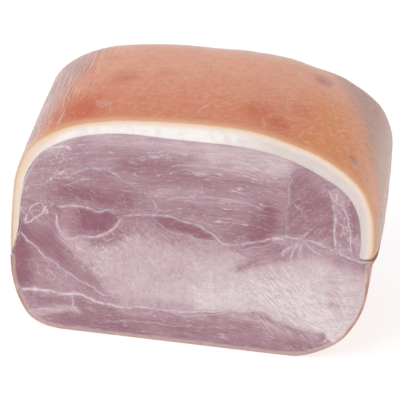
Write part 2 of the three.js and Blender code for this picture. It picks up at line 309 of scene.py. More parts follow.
# Seams of connective tissue: points on the cut, width at either end in millimetres, and strength from 0 to 1
SEAMS = {
    "waist": ([(113, 77.5), (103, 78), (94.6, 81), (85, 86), (78.8, 88.2), (68, 89.2), (58, 89.5),
               (46, 85.2), (38, 82.2), (30, 80.3), (21.5, 80.4), (15.4, 86), (8, 90.7), (-9.6, 95),
               (-21.6, 96), (-30, 94.4), (-42, 93.2)], (0.5, 0.5), 0.65),
    "sliver edge": ([(-22, 95), (-17, 89), (-8, 84.3), (8, 81.4), (21, 80.4)], (0.4, 0.4), 0.45),
    "small lens": ([(-82.5, 90), (-83.3, 80.5), (-81, 75), (-78, 71.8), (-73.8, 71.7), (-67, 73.6),
                    (-58, 75.3), (-50.4, 79.2), (-45.3, 84.6), (-42, 92)], (0.55, 0.6), 0.9),
    "small lens top": ([(-44, 93.6), (-50.7, 95.1), (-57, 94.2), (-62, 96), (-68.6, 95.7), (-73.5, 96.4),
                        (-80, 95.1), (-84, 94.4)], (0.5, 0.6), 0.75),
    "upper lens": ([(-88, 112), (-84, 115), (-79, 116), (-72.4, 118.2), (-65, 123), (-59, 125.2),
                    (-53, 124.7), (-48, 123.9), (-41, 120.3), (-33, 114.9), (-27, 110.2), (-21.4, 105.4),
                    (-19.6, 101), (-22, 96.5)], (0.5, 0.4), 0.5),
    "band left": ([(-107.9, 73.5), (-103.3, 67.3), (-98.5, 63), (-93, 56.5), (-86.5, 52), (-80.8, 47),
                   (-75.9, 43.7), (-71, 40.4), (-64.4, 37.3), (-56.2, 31.6), (-50.3, 30.5), (-45.3, 27.5)],
                  (0.5, 0.45), 0.7),
    "band right": ([(-80, 72), (-79.2, 70.6), (-76.6, 65), (-72, 59), (-65.5, 52), (-60.7, 46),
                    (-56.7, 39.5), (-54.4, 35), (-50, 29.5)], (0.4, 0.4), 0.5),
    "floor left": ([(-112, 26.6), (-104, 28), (-98.8, 29), (-90, 28.2), (-81.8, 27.8), (-73.2, 29.3),
                    (-66.5, 27), (-60, 25), (-52, 23.5), (-43, 22.6), (-36, 24)], (1.1, 0.6), 1.0),
    "floor middle": ([(-38, 23.6), (-27, 24.2), (-14.4, 23.7), (-4.5, 24.3), (6, 25.5), (17.6, 27.8),
                      (31, 29.8), (44.6, 31.2), (51, 29.6), (58, 25.7)], (0.6, 0.6), 0.75),
    "floor right": ([(54, 27.6), (58, 25.7), (67, 22.7), (76, 21.3), (83, 20.7), (88, 22.6)],
                    (0.55, 0.6), 0.8),
    "floor double": ([(-16, 23.6), (-4, 21.8), (8, 23.2), (20, 26.5), (30, 29.6)], (0.35, 0.35), 0.5),
    "toe": ([(-77.2, 27), (-75.2, 22.7), (-78, 17.1), (-84, 15.4), (-91, 14.7), (-101.6, 11.5)],
            (0.5, 0.5), 0.75),
    "block left": ([(63.4, 134), (62, 127), (61.5, 118), (61, 109), (60.5, 101), (60, 91)],
                   (0.4, 0.4), 0.3),
    "block right": ([(85.6, 126), (88.4, 116), (89.5, 106), (90.2, 92.5), (90.4, 85)], (0.5, 0.45), 0.8),
    "strip line": ([(94, 117), (96.4, 110), (98.4, 102), (99.9, 91), (100.4, 82)], (0.45, 0.4), 0.8),
    "leaf edge": ([(27, 78.2), (34, 77.4), (44, 80.6), (55, 84.6), (64.8, 85.6)], (0.3, 0.3), 0.3),
    "leaf tail": ([(64.8, 85.4), (60.4, 78.3), (55.8, 73), (46.3, 69.6), (36.9, 64.5), (31, 61)],
                  (0.35, 0.3), 0.35),
    "oval top": ([(-86, 96.6), (-91, 96.4), (-96.5, 95), (-99.6, 91.6), (-100.6, 87)], (0.5, 0.4), 0.7),
    "oval side": ([(-88, 95.2), (-91, 92), (-92.6, 88.4), (-96, 85), (-100, 81.4), (-103.4, 80.6),
                   (-102.8, 84.6), (-100.4, 88)], (0.5, 0.5), 0.8),
    "spot": ([(-87.4, 97.4), (-85.3, 95.8), (-83.4, 94.6)], (0.9, 0.9), 1.0),
    "squiggle": ([(-81.5, 121.5), (-79.5, 118.6), (-77, 121.2), (-75.4, 118.8), (-73.6, 120.4)],
                 (0.4, 0.4), 0.8),
    "squiggle low": ([(-86.6, 116.6), (-85.2, 113.4), (-83.4, 115.6)], (0.45, 0.45), 0.8),
    "lens vein": ([(-78, 110), (-70, 113.5), (-63, 117), (-57, 118)], (0.35, 0.35), 0.4),
    "stroke low": ([(63, 40), (66.5, 35.5), (70.6, 30.5), (74, 27)], (0.4, 0.4), 0.7),
    "stroke high": ([(78.5, 51.5), (81, 48.5), (84, 44.5)], (0.35, 0.35), 0.6),
    "stroke edge": ([(91, 38), (94, 34.5), (97, 30)], (0.35, 0.35), 0.6),
    "star": ([(83.4, 12.6), (87, 13.6), (90.4, 17.6)], (0.7, 0.6), 0.8),
    "toe star": ([(-77.6, 20.4), (-74.6, 17.6), (-72, 19.6)], (0.55, 0.5), 0.8),
    "star far left": ([(69, 88), (65, 84.3), (59.5, 80), (57, 75.5)], (0.45, 0.4), 0.75),
    "star left": ([(69.5, 87), (66.4, 83), (65, 78), (63.4, 71.5)], (0.45, 0.4), 0.75),
    "star middle": ([(71, 87), (69.6, 80), (70.6, 72.5)], (0.4, 0.35), 0.6),
    "star right": ([(72, 86.6), (77.4, 82), (84, 79)], (0.45, 0.4), 0.65),
    "star top": ([(70, 89), (72, 93), (76, 97)], (0.4, 0.35), 0.5),
    "waist patch": ([(50, 86), (56, 87.4), (62, 88.6)], (1.0, 1.0), 0.8),
    "corner strand": ([(-93, 132), (-89, 134.6), (-85, 136.4), (-81, 137.8), (-77, 138.8), (-73, 138.2),
                      (-70.8, 135.9)], (0.9, 0.7), 0.9),
    "lower vein": ([(-48, 12), (-30, 13.4), (-8, 13), (14, 15), (34, 17.4)], (0.3, 0.3), 0.3),
    "upper vein": ([(-12, 132), (8, 134.5), (30, 133), (46, 129.5)], (0.35, 0.35), 0.4),
    "long vein": ([(-14, 108), (6, 112), (26, 112.4), (48, 108.6)], (0.35, 0.35), 0.4),
}
# Where a net of fine white lines covers the muscles: points on the cut, reach and strength
NETS = {
    "beside the band": ([(-66, 64), (-56, 56), (-48, 70)], 11, 1.0),
    "under the small lens": ([(-44, 76), (-34, 74), (-30, 80)], 8, 0.7),
    "pale middle": ([(-28, 46), (-6, 62), (10, 46)], 20, 0.5),
    "pale right": ([(40, 50), (78, 56)], 20, 0.35),
    "oval": ([(-100, 86), (-92, 92)], 8, 0.8),
    "upper left": ([(-86, 120), (-76, 132)], 11, 0.6),
    "triangle": ([(-98, 48), (-82, 40)], 9, 0.55),
    "right strips": ([(92, 120), (97, 104), (99, 90)], 7, 0.8),
    "block": ([(70, 112), (78, 98)], 12, 0.35),
    "waist star": ([(62, 88), (74, 88)], 7, 0.6),
}
# Where the flesh is brushed into short slanting ridges
BRUSHED = {
    "pale right": ([(52, 54), (66, 42), (80, 32)], 15, 1.0),
    "pale edge": ([(92, 50), (98, 34)], 9, 0.7),
    "pale roof": ([(-40, 80), (-26, 78), (-10, 76)], 6, 0.8),
    "bottom right": ([(48, 24), (66, 18), (80, 10)], 10, 0.7),
}
# Seams are kept for every point of the cut as sets of fields. Lengths are in millimetres.
SEAM_SETS = "abc"
FIELDS_IN_SET = 3
SEAM_CLEARANCE = 7  # seams in one field stay this far apart
SEAM_REACH = 3.2  # a seam's strength has faded this far from it
SEAM_TAPER = 4  # a seam fades in and out over this length at its ends
SEAM_LIMIT = 5  # greatest distance kept, in widths of the seam
CAP_LENGTH = 330  # about how long the fat's inner edge is on the cut
ARCH_CENTRE = (15, -250)  # the upper muscle's fibres run in arcs round this point
ARCH_HEIGHT = 110  # fibre lengths there are true at this height
DROOP = {"from": 10, "by": 0.0032}  # the bottom muscle's fibres sink to the right of a place
WOBBLES = [
    {"amplitude": 0.55, "lengths": (19, 23), "phase": 0.7},
    {"amplitude": 0.35, "lengths": (8.3, 7.1), "phase": 2.9},
    {"amplitude": 0.16, "lengths": (3.7, 3.1), "phase": 5.2},
]
CLOUD_SHIFT = 30  # how far the clouds on the rind move the borders between its colours
# Spots on the rind: place round the section and back from the cut, reach and strength
RED_SPOTS = [
    ((-56, 16), 26, 0.9),
    ((-36, 51), 14, 0.5),
    ((50, 22), 16, 0.6),
    ((64, 16), 12, 0.8),
    ((76, 39), 12, 0.4),
]
PURPLE_SPOTS = [((85, 82), 10, 0.55), ((114, 15), 6, 0.7)]
FAT_CREAM = (-112, 100, 34)  # x and z on the cut where the fat is creamiest, and how far that reaches
CREAMY_LEFT = (-104, -84)  # from the left up to here the fat is creamy at every height
CREAMY_SHARE = 0.8


def mm(size):
    return size * PER_METRE


def mix(a, b, share):
    return a + (b - a) * share


def smooth(low, high, value):
    share = np.clip((value - low) / (high - low), 0, 1)
    return share * share * (3 - 2 * share)


def unit(vectors):
    return vectors / np.maximum(np.linalg.norm(vectors, axis=-1, keepdims=True), 1e-12)


def travelled(points):
    """How far each point of a line lies along it."""
    return np.r_[0, np.cumsum(np.linalg.norm(np.diff(points, axis=0), axis=-1))]


def eased(share):
    """The height of a quarter circle, which falls from 1 to 0 as share goes from 0 to 1."""
    return np.sqrt(1 - share**2)


def wave(value, length, phase):
    return np.sin(2 * pi * value / length + phase)


def value_noise(points, cell, seed):
    """Smooth noise from 0 to 1 at points of two or three coordinates, with one random value for each cell."""
    points = points / cell
    base = np.floor(points).astype(np.int64)
    share = points - base
    share = share * share * (3 - 2 * share)
    total = 0
    for corner in np.ndindex(*[2] * points.shape[-1]):
        key = (base + corner) @ HASH_PRIMES[: points.shape[-1]] + seed * HASH_SEED
        key = ((key ^ (key >> 13)) * HASH_MIX) & 0x7FFFFFFF
        weight = np.prod(np.where(corner, share, 1 - share), axis=-1)
        total = total + weight * ((key ^ (key >> 16)) & 0xFFFF) / 0xFFFF
    return total


def smooth_line(points, spacing, closed=False):
    """Points at about the given spacing along a smooth curve through the given ones."""
    points = np.array(points, float)
    ends = (points[-1:], points[:1], points[1:2]) if closed else (points[:1], points[-1:], points[-1:])
    around = np.concatenate([ends[0], points, ends[1], ends[2]])
    found = []
    for k in range(1, len(points) + (1 if closed else 0)):
        a, b, c, d = around[k - 1: k + 3]
        count = max(2, int(np.linalg.norm(c - b) / spacing))
        t = (np.arange(count) / count)[:, None]
        bend = (2 * a - 5 * b + 4 * c - d) * t**2 + (3 * b - a - 3 * c + d) * t**3
        found.append(0.5 * (2 * b + (c - a) * t + bend))
    if not closed:
        found.append(points[-1:])
    return np.concatenate(found)


def to_line(points, line):
    """Distance from points to a line, positive on its left, and how far along it the nearest place lies."""
    nearest = np.full(len(points), np.inf)
    side = np.ones(len(points))
    along = np.zeros(len(points))
    so_far = 0
    for start, end in zip(line[:-1], line[1:]):
        step = end - start
        length = np.hypot(*step)
        offset = points - start
        share = np.clip(offset @ step / length**2, 0, 1)
        distance = np.hypot(*(offset - share[:, None] * step).T)
        closer = distance < nearest
        turn = step[0] * offset[:, 1] - step[1] * offset[:, 0]
        nearest = np.where(closer, distance, nearest)
        side = np.where(closer, np.where(turn < 0, -1, 1), side)
        along = np.where(closer, so_far + share * length, along)
        so_far += length
    return nearest * side, along / so_far


def inside(points, outline):
    """Signed distance to a closed outline, positive inside it."""
    distance = np.abs(to_line(points, np.concatenate([outline, outline[:1]]))[0])
    crossings = np.zeros(len(points), int)
    for (x0, z0), (x1, z1) in zip(outline, np.roll(outline, -1, axis=0)):
        if z0 != z1:
            straddles = (points[:, 1] < z0) != (points[:, 1] < z1)
            crossings += straddles & (points[:, 0] < x0 + (points[:, 1] - z0) / (z1 - z0) * (x1 - x0))
    return np.where(crossings % 2 == 1, distance, -distance)


class Body:
    """The outer form of the whole piece: a section carried back from the cut to the far end."""

    def __init__(self, sizes):
        self.depth = mm(sizes.depth)
        self.pole_height = mm(sizes.pole_height)
        self.side_shift = mm(sizes.side_shift)
        rounds = (sizes.round_left, sizes.round_right, sizes.round_top, sizes.round_bottom)
        self.rounds = [mm(size) for size in rounds]
        self.back_fat = mm(sizes.back_fat)

    def on_section(self, places):
        """x, fat thickness and z at places from 0 to 1 round a closed centripetal curve."""
        count = len(SECTION)
        at = np.mod(places, 1) * count
        first = np.floor(at).astype(int)
        share = (at - first)[..., None]
        a, b, c, d = (SECTION[(first + k) % count] for k in (-1, 0, 1, 2))
        gaps = [np.linalg.norm(q - p, axis=-1, keepdims=True) ** 0.5 for p, q in ((a, b), (b, c), (c, d))]
        slope_in = ((b - a) / gaps[0] - (c - a) / (gaps[0] + gaps[1]) + (c - b) / gaps[1]) * gaps[1]
        slope_out = ((c - b) / gaps[1] - (d - b) / (gaps[1] + gaps[2]) + (d - c) / gaps[2]) * gaps[1]
        square = (3 * (c - b) - 2 * slope_in - slope_out) * share**2
        cube = (2 * (b - c) + slope_in + slope_out) * share**3
        return b + slope_in * share + square + cube

    def flat(self, places):
        at = self.on_section(places)
        return np.stack([at[..., 0], np.maximum(at[..., 2], 0)], -1)

    def column(self, places):
        """Point, outward direction and fat thickness at places on the section."""
        ahead = self.flat(places + PLACE_STEP)
        behind = self.flat(places - PLACE_STEP)
        across = ahead - behind
        outward = unit(np.stack([-across[..., 1], across[..., 0]], -1))
        return self.flat(places), outward, np.maximum(self.on_section(places)[..., 1], THIN_FAT)

    def stations(self, start, end, count, reach):
        """Evenly spaced places between two places on the section, with reach added at each end."""
        places = mix(start, end, np.arange(STATION_SAMPLES + 1) / STATION_SAMPLES)
        lengths = travelled(self.flat(places))
        at = (lengths[-1] + 2 * reach) * np.arange(count + 1) / count - reach
        i = np.clip(np.searchsorted(lengths, at), 1, STATION_SAMPLES)
        share = (at - lengths[i - 1]) / (lengths[i] - lengths[i - 1])
        return mix(start, end, (i - 1 + share) / STATION_SAMPLES)

    def swell(self, p):
        """Gentle unevenness, none near the flat underside and none at the cut."""
        total = 0
        for part in SWELLS:
            lengths, phase = part["along"], part["phase"]
            across = wave(p[..., 0], lengths[0], phase) * wave(p[..., 2], lengths[2], 3 * phase)
            total = total + part["amplitude"] * across * wave(p[..., 1], lengths[1], 2 * phase)
        return total * smooth(*SWELL_ABOVE_FLOOR, p[..., 2]) * smooth(*SWELL_BEHIND_CUT, p[..., 1])

    def points(self, places, rings, proud=0):
        """Points of the body at every ring and place, moved outwards by proud."""
        straight, turn = (r[:, None] for r in rings)
        point, outward, _ = self.column(places)
        left, right, top, bottom = self.rounds
        side = np.where(outward[:, 0] > 0, right, left)
        up_or_down = np.where(outward[:, 1] > 0, top, bottom)
        rounding = side * outward[:, 0] ** 2 + up_or_down * outward[:, 1] ** 2
        shrink = np.maximum(np.cos(turn), 0) ** (2 / END_SQUARENESS)
        y = (self.depth - rounding) * straight + rounding * np.sin(turn) ** (2 / END_SQUARENESS)
        along = y / self.depth
        facing_up = np.maximum(outward[:, 1], 0)
        shoulder = 2 * np.abs(outward[:, 0]) * facing_up
        lip = np.maximum(outward[:, 0], 0) ** LIP["sharpness"] * smooth(*LIP["heights"], point[:, 1])
        push = along * (SHOULDER_GROWTH * shoulder - CROWN_FLAT * facing_up**CROWN_SHARPNESS) + proud
        push = push + LIP["size"] * lip * (1 - np.exp(-y / LIP["length"]))
        x = point[:, 0] * (1 + BELLY * np.sin(pi * along)) + outward[:, 0] * push
        rise = TOP_RISE - sin(radians(TWIST_DEG)) * point[:, 0]
        z = point[:, 1] + outward[:, 1] * push + along * rise * np.minimum(point[:, 1] / CROWN_HEIGHT, 1)
        p = np.stack([x * shrink + self.side_shift * along, y, mix(self.pole_height, z, shrink)], -1)
        bump = self.swell(p) * np.minimum(1, 2 * shrink)
        p[..., 0] += outward[:, 0] * bump
        p[..., 2] = np.maximum(0, p[..., 2] + outward[:, 1] * bump)
        return p

    def out(self, places, rings):
        """Direction out of the body at every ring and place."""
        straight, turn = rings
        place = np.clip(places, RIM_EASE, RIGHT_RIM - RIM_EASE)
        turn = np.minimum(turn, STEEPEST_TURN)
        rounding = straight == 1
        before = (np.maximum(straight - NUDGE, 0), np.maximum(turn - NUDGE, 0))
        after = (np.where(rounding, 1, straight + NUDGE), np.where(rounding, turn + NUDGE, 0))
        forward = self.points(place, after) - self.points(place, before)
        here = (straight, turn)
        across = self.points(place + OUT_STEP, here) - self.points(place - OUT_STEP, here)
        found = unit(np.cross(across, forward))
        found[straight == 0, :, 1] = 0
        found[-1] = (0, 1, 0)
        return unit(found)

    def skin(self, places, rings, proud=0, inset=None, rise=0):
        """Rows of points, one for each ring, proud of the body or set in from it."""
        p = self.points(places, rings, proud)
        if inset is not None:
            p = p - self.out(places, rings) * inset[..., None]
            p[0, :, 1] = 0
        p[..., 2] += rise * (1 - np.cos(rings[1]))[:, None]
        return p

    def fat(self, places, rings):
        """The fat's thickness at every ring and place."""
        return mix(self.back_fat, self.column(places)[2], smooth(0, BACK_FAT_FROM, np.cos(rings[1]))[:, None])

    def rings(self, straight_count, round_count):
        """Straight share and turn of every ring from the cut to the pole."""
        reach = self.depth - max(self.rounds)
        edge = np.array(EDGE_RINGS) / reach
        rest = np.linspace(0, 1, straight_count + 1)[1:-1] ** RING_CROWDING
        straight = np.r_[edge, mix(edge[-1], 1, rest)]
        turn = pi / 2 * (np.arange(round_count + 1) / round_count) ** RING_CROWDING
        return np.r_[straight, np.ones(len(turn))], np.r_[np.zeros(len(straight)), turn]


class Mesh:
    """Collects grids of points with numbers kept for each, and joins them where they meet."""

    def __init__(self, fields):
        self.fields = fields  # numbers kept for every point: name and how many
        self.points = []
        self.values = {name: [] for name in fields}
        self.faces = []
        self.count = 0

    def grid(self, rows, values=None, closed=False, flipped=False):
        """Rows of points joined into quads. values holds numbers by name, the rest is 0."""
        height, width = rows.shape[:2]
        index = self.count + np.arange(height * width).reshape(height, width)
        self.count += height * width
        self.points.append(rows.reshape(-1, 3))
        for name, size in self.fields.items():
            given = (values or {}).get(name, 0)
            shape = (height, width, size) if size > 1 else (height, width)
            self.values[name].append(np.broadcast_to(given, shape).reshape(height * width, size))
        right = np.roll(index, -1, axis=1) if closed else index[:, 1:]
        left = index if closed else index[:, :-1]
        quads = np.stack([left[:-1], right[:-1], right[1:], left[1:]], -1).reshape(-1, 4)
        self.faces.extend((quads[:, ::-1] if flipped else quads).tolist())
        return index

    def join_half(self, fine, coarse):
        """Joins a closed row of points to one of half as many."""
        a, b = fine[0::2], fine[1::2]
        c = np.roll(a, -1)
        far = np.roll(coarse, -1)
        for corners in ((a, b, coarse), (b, far, coarse), (b, c, far)):
            self.faces.extend(np.stack(corners, -1).tolist())

    def build(self, name, material):
        points = np.concatenate(self.points)
        keys = np.round(points / WELD).astype(np.int64)
        _, first, where = np.unique(keys, axis=0, return_index=True, return_inverse=True)
        where = where.reshape(-1)
        faces = [list(dict.fromkeys(where[face].tolist())) for face in self.faces]
        faces = [face for face in faces if len(face) > 2]
        mesh = bpy.data.meshes.new(name)
        mesh.from_pydata((to_frame(points[first])).tolist(), [], faces)
        for field, size in self.fields.items():
            kind, key = ("FLOAT", "value") if size == 1 else ("FLOAT_VECTOR", "vector")
            numbers = np.concatenate(self.values[field])[first].astype(np.float32)
            mesh.attributes.new(field, kind, "POINT").data.foreach_set(key, numbers.reshape(-1))
        mesh.shade_smooth()
        mesh.validate()
        mesh.materials.append(material)
        piece = bpy.data.objects.new(name, mesh)
        bpy.context.scene.collection.objects.link(piece)
        return piece


def to_frame(points):
    """Millimetres on the section to metres in the frame, by the lean's far end and its cut."""
    low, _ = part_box("lean")
    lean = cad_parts["lean"].data.vertices
    pole = max(lean, key=lambda vertex: vertex.co.y).co
    middle = pole.x - bpy.context.scene.ham_sizes.side_shift
    return np.asarray(points) / PER_METRE + (middle, low.y, 0)


def surface_lay(body, rows, places):
    """Millimetres along the section from its middle, and back from the cut, for every point of a skin."""
    round_section = travelled(body.flat(places))
    round_section -= round_section[-1] / 2
    steps = np.linalg.norm(np.diff(rows, axis=0), axis=-1)
    back = np.r_[np.zeros((1, rows.shape[1])), np.cumsum(steps, axis=0)]
    return np.broadcast_to(round_section, back.shape), back


def edge_rounding(rings, body, radius):
    """How far a skin draws in at each ring to round the edge of the cut."""
    back = rings[0] * (body.depth - max(body.rounds))
    share = np.clip(1 - back / radius, 0, 1)
    return -radius * (1 - eased(share))


def wobbled(points):
    """The same points moved about a little, so that lines measured from them waver."""
    moved = points.copy()
    for part in WOBBLES:
        (long, short), phase = part["lengths"], part["phase"]
        x, z = points.T
        moved[:, 0] += part["amplitude"] * wave(z, long, phase) * wave(x, short, 2 * phase)
        moved[:, 1] += part["amplitude"] * wave(x, long, 3 * phase) * wave(z, short, phase)
    return moved


def fibres(points, muscle):
    """Coordinates along and across a muscle's fibres."""
    x, z = points.T
    if muscle.get("arched"):
        centre_x, centre_z = ARCH_CENTRE
        radius = np.hypot(x - centre_x, z - centre_z)
        return np.arctan2(x - centre_x, z - centre_z) * (ARCH_HEIGHT - centre_z), radius
    if muscle.get("drooping"):
        return x, z + DROOP["by"] * np.maximum(x - DROOP["from"], 0) ** 2
    slant = radians(muscle["slant"])
    return x * cos(slant) + z * sin(slant), z * cos(slant) - x * sin(slant)


def nearness(points, line, reach):
    """1 on a smooth line through the given places, falling to 0 past its reach."""
    distance, _ = to_line(points, smooth_line(line, reach / 2))
    return np.exp(-((distance / reach) ** 2))


def shaded(tone, points):
    """The tone with the soft strokes laid over it, some of them painted shade and one a painted highlight."""
    for line, reach, shade, strength in SHADES.values():
        tone = mix(tone, shade, strength * nearness(points, line, reach))
    return tone


def covered(points, strokes):
    """How strongly the strokes cover every point, from 0 to 1."""
    total = np.zeros(len(points))
    for line, reach, strength in strokes.values():
        total = np.maximum(total, strength * nearness(points, line, reach))
    return total


def paint_muscles(points):
    """Tone, wetness and fibre coordinates of every point of the cut."""
    weights = [np.exp(-((np.hypot(*(points - place).T) / PALE_REACH) ** 2)) + 1e-6 for place, _ in PALE_TONES]
    tone = sum(w * value for w, (_, value) in zip(weights, PALE_TONES)) / sum(weights)
    wet = np.full(len(points), PALE_WET)
    grain = points.copy()
    slope = smooth(PALE_SLANT["from"], PALE_SLANT["to"], points[:, 0])
    grain[:, 0] = mix(points[:, 0], (points[:, 0] - points[:, 1]) * PALE_SLANT["stretch"], slope)
    depth = np.full(len(points), INNERMOST)
    for muscle in MUSCLES.values():
        distance = inside(points, smooth_line(muscle["outline"], 1.5, closed=True))
        half = muscle.get("softness", MUSCLE_BLEND)
        share = smooth(-half, half, distance)
        tone = mix(tone, muscle["tone"], share)
        wet = mix(wet, muscle["wet"], share)
        along, across = fibres(points, muscle)
        own = distance > 0
        grain[own] = np.stack([along / muscle["stretch"], across], -1)[own]
        if half < SHARP_BLEND:
            depth = np.where(own, distance, np.minimum(depth, -distance))
    return shaded(tone, points), wet, grain, depth


def sort_seams():
    """The seams as fine lines, in groups that each keep clear of one another."""
    groups = [[] for _ in range(FIELDS_IN_SET * len(SEAM_SETS))]
    for points, widths, strength in SEAMS.values():
        line = smooth_line(points, 1.2)
        for group in groups:
            gaps = [np.abs(to_line(line, other)[0]).min() for other, _, _ in group]
            if min(gaps, default=SEAM_CLEARANCE) >= SEAM_CLEARANCE:
                group.append((line, widths, strength))
                break
        else:
            raise RuntimeError("the seams need more fields")
    return groups


def measure_seams(points):
    """For each group the distance to its nearest seam in seam widths, and that seam's strength."""
    distances = []
    strengths = []
    groove = np.zeros(len(points))
    for group in sort_seams():
        nearest = np.full(len(points), float(SEAM_LIMIT))
        power = np.zeros(len(points))
        for line, widths, strength in group:
            distance, along = to_line(points, line)
            length = travelled(line)[-1]
            width = mix(*widths, along)
            closer = np.abs(distance) < SEAM_CLEARANCE / 2
            ends = smooth(0, SEAM_TAPER / length, along) * smooth(0, SEAM_TAPER / length, 1 - along)
            near = 1 - smooth(SEAM_REACH * 0.6, SEAM_REACH, np.abs(distance))
            nearest = np.where(closer, np.clip(distance / width, -SEAM_LIMIT, SEAM_LIMIT), nearest)
            power = np.where(closer, strength * ends * near, power)
            groove = np.maximum(groove, strength * ends * np.exp(-((distance / (2.2 * width)) ** 2)))
        distances.append(nearest)
        strengths.append(power)
    return np.stack(distances, -1), np.stack(strengths, -1), groove


def cut_relief(points, grain, depth, groove, look, margin):
    """How far the cut across the lean lies behind its edge at every point."""
    lengths = CUT_WAVES["lengths"]
    swing = 0.5 + 0.5 * wave(points[:, 0], lengths[0], 1) * wave(points[:, 1], lengths[1], 0)
    ridges = value_noise(grain, *CUT_RIDGES) - 0.5
    pits = value_noise(points, *CUT_PITS) - 0.5
    crown = np.exp(-depth / CROWN_FALL) * mm(look.crown)
    total = CUT_WAVES["depth"] * swing + groove * mm(look.seam_depth) + crown
    total = total + ridges * mm(look.fibre_relief) + pits * mm(look.fibre_relief)
    drop = CUT_DROP * smooth(0, CUT_DROP_WITHIN, margin)
    return np.maximum(total, 0) * smooth(0, RELIEF_WITHIN, margin) + drop


def patch(ring, corner, width, height):
    """A grid that fills a closed ring, which runs clockwise, from its top left corner."""
    ring = np.roll(ring, -corner, axis=0)
    top = ring[: width + 1]
    right = ring[width: width + height + 1][::-1]
    bottom = ring[width + height: 2 * width + height + 1][::-1]
    left = np.concatenate([ring[2 * width + height:], ring[:1]])
    u = (np.arange(width + 1) / width)[None, :, None]
    v = (np.arange(height + 1) / height)[:, None, None]
    between = mix(bottom[None], top[None], v) + mix(left[:, None], right[:, None], u)
    return between - mix(mix(left[0], right[0], u), mix(left[-1], right[-1], u), v)


def with_midpoints(ring):
    """A closed ring with a point added in the middle of each of its steps."""
    return np.stack([ring, (ring + np.roll(ring, -1, axis=0)) / 2], 1).reshape(-1, 3)


def lean_rings(body, sizes, look):
    """Closed rows of points round the lean, and its outline on the cut where it is bare and under the fat."""
    rings = body.rings(sizes.straight_rings, sizes.round_rings)
    under = body.stations(0, RIGHT_RIM, sizes.lean_cap_columns, mm(sizes.rim_gap))
    bare = body.stations(RIGHT_RIM, 1, sizes.lean_base_columns, -mm(sizes.rim_gap))
    set_in = body.skin(under, rings, inset=body.fat(under, rings) + mm(sizes.gap))
    open_skin = body.skin(bare, rings, proud=edge_rounding(rings, body, mm(look.edge_radius))[:, None])
    share = (np.arange(1, 5) / 5)[None, :, None]
    ledge = mix(set_in[:, -1:], open_skin[:, :1], share)
    short_ledge = mix(open_skin[:, -1:], set_in[:, :1], share[:, 1:3])
    rows = np.concatenate([set_in, ledge, open_skin, short_ledge], 1)
    return rows, open_skin[0][:, [0, 2]], set_in[0][:, [0, 2]]


def nearest_to(ring, place):
    """Number of the point of a ring that lies nearest to a place on the cut."""
    return int(np.argmin(np.hypot(*(ring[:, [0, 2]] - place).T)))


def cut_values(flat, bare_outline, cap_outline, shape):
    """Everything that the lean's finish needs to know at every point of its cut."""
    wavering = wobbled(flat)
    to_fat, along_fat = to_line(flat, cap_outline)
    tone, wet, grain, depth = paint_muscles(wavering)
    distances, strengths, groove = measure_seams(wavering)
    values = {
        "cut": np.ones(len(flat)),
        "tone": tone,
        "grain": np.c_[grain, wet],
        "edge": np.abs(to_line(flat, bare_outline)[0]),
        "margin": np.c_[np.abs(to_fat), along_fat * CAP_LENGTH, covered(wavering, NETS)],
        "brushed": covered(wavering, BRUSHED),
    }
    for k, letter in enumerate(SEAM_SETS):
        fields = slice(FIELDS_IN_SET * k, FIELDS_IN_SET * (k + 1))
        values["seams_" + letter] = distances[:, fields]
        values["strengths_" + letter] = strengths[:, fields]
    shaped = {name: value.reshape(shape + value.shape[1:]) for name, value in values.items()}
    return shaped, grain, depth, groove


def build_lean(sizes, look):
    body = Body(sizes)
    rows, bare_outline, cap_outline = lean_rings(body, sizes, look)
    fine = with_midpoints(rows[0])
    corners = [2 * nearest_to(rows[0], place) for place in PATCH_CORNERS]
    width = corners[1] - corners[0]
    cut = patch(fine, corners[0], width, len(fine) // 2 - width)
    shape = cut.shape[:2]
    flat = cut[..., [0, 2]].reshape(-1, 2)
    values, grain, depth, groove = cut_values(flat, bare_outline, cap_outline, shape)
    margin = np.abs(to_line(flat, np.concatenate([fine, fine[:1]])[:, [0, 2]])[0])
    cut[..., 1] = cut_relief(flat, grain, depth, groove, look, margin).reshape(shape)
    mesh = Mesh({name: value.shape[2] if value.ndim > 2 else 1 for name, value in values.items()})
    mesh.grid(cut, values)
    outer = mesh.grid(fine[None])
    inner = mesh.grid(rows[1:], closed=True)
    mesh.join_half(outer[0], inner[0])
    return mesh.build("ham_lean", lean_material(look))


def rim_rounding(body, places, look):
    """How far the fat draws in towards its two rims, each rounded like a quarter of an ellipse."""
    from_left = travelled(body.flat(places))
    from_right = from_left[-1] - from_left
    total = np.zeros(len(places))
    for distance, deep in ((from_left, look.left_rim_depth), (from_right, look.right_rim_depth)):
        share = np.clip(1 - distance / mm(look.rim_length), 0, 1)
        total -= mm(deep) * (1 - eased(share))
    return total


def rind_relief(points, lay, look):
    """How far dents, creases and fine ridges sink into the rind at every point."""
    round_section, back = lay
    dents = value_noise(points, *RIND_DENTS)
    dimples = value_noise(points, *RIND_DIMPLES)
    stretched = np.stack([round_section / RIND_RIDGES["round"], back / RIND_RIDGES["back"]], -1)
    ridges = value_noise(stretched, 1.0, RIND_RIDGES["seed"])
    return -mm(look.rind_relief) * (0.3 * dents + 0.25 * dimples + 0.2 * ridges)


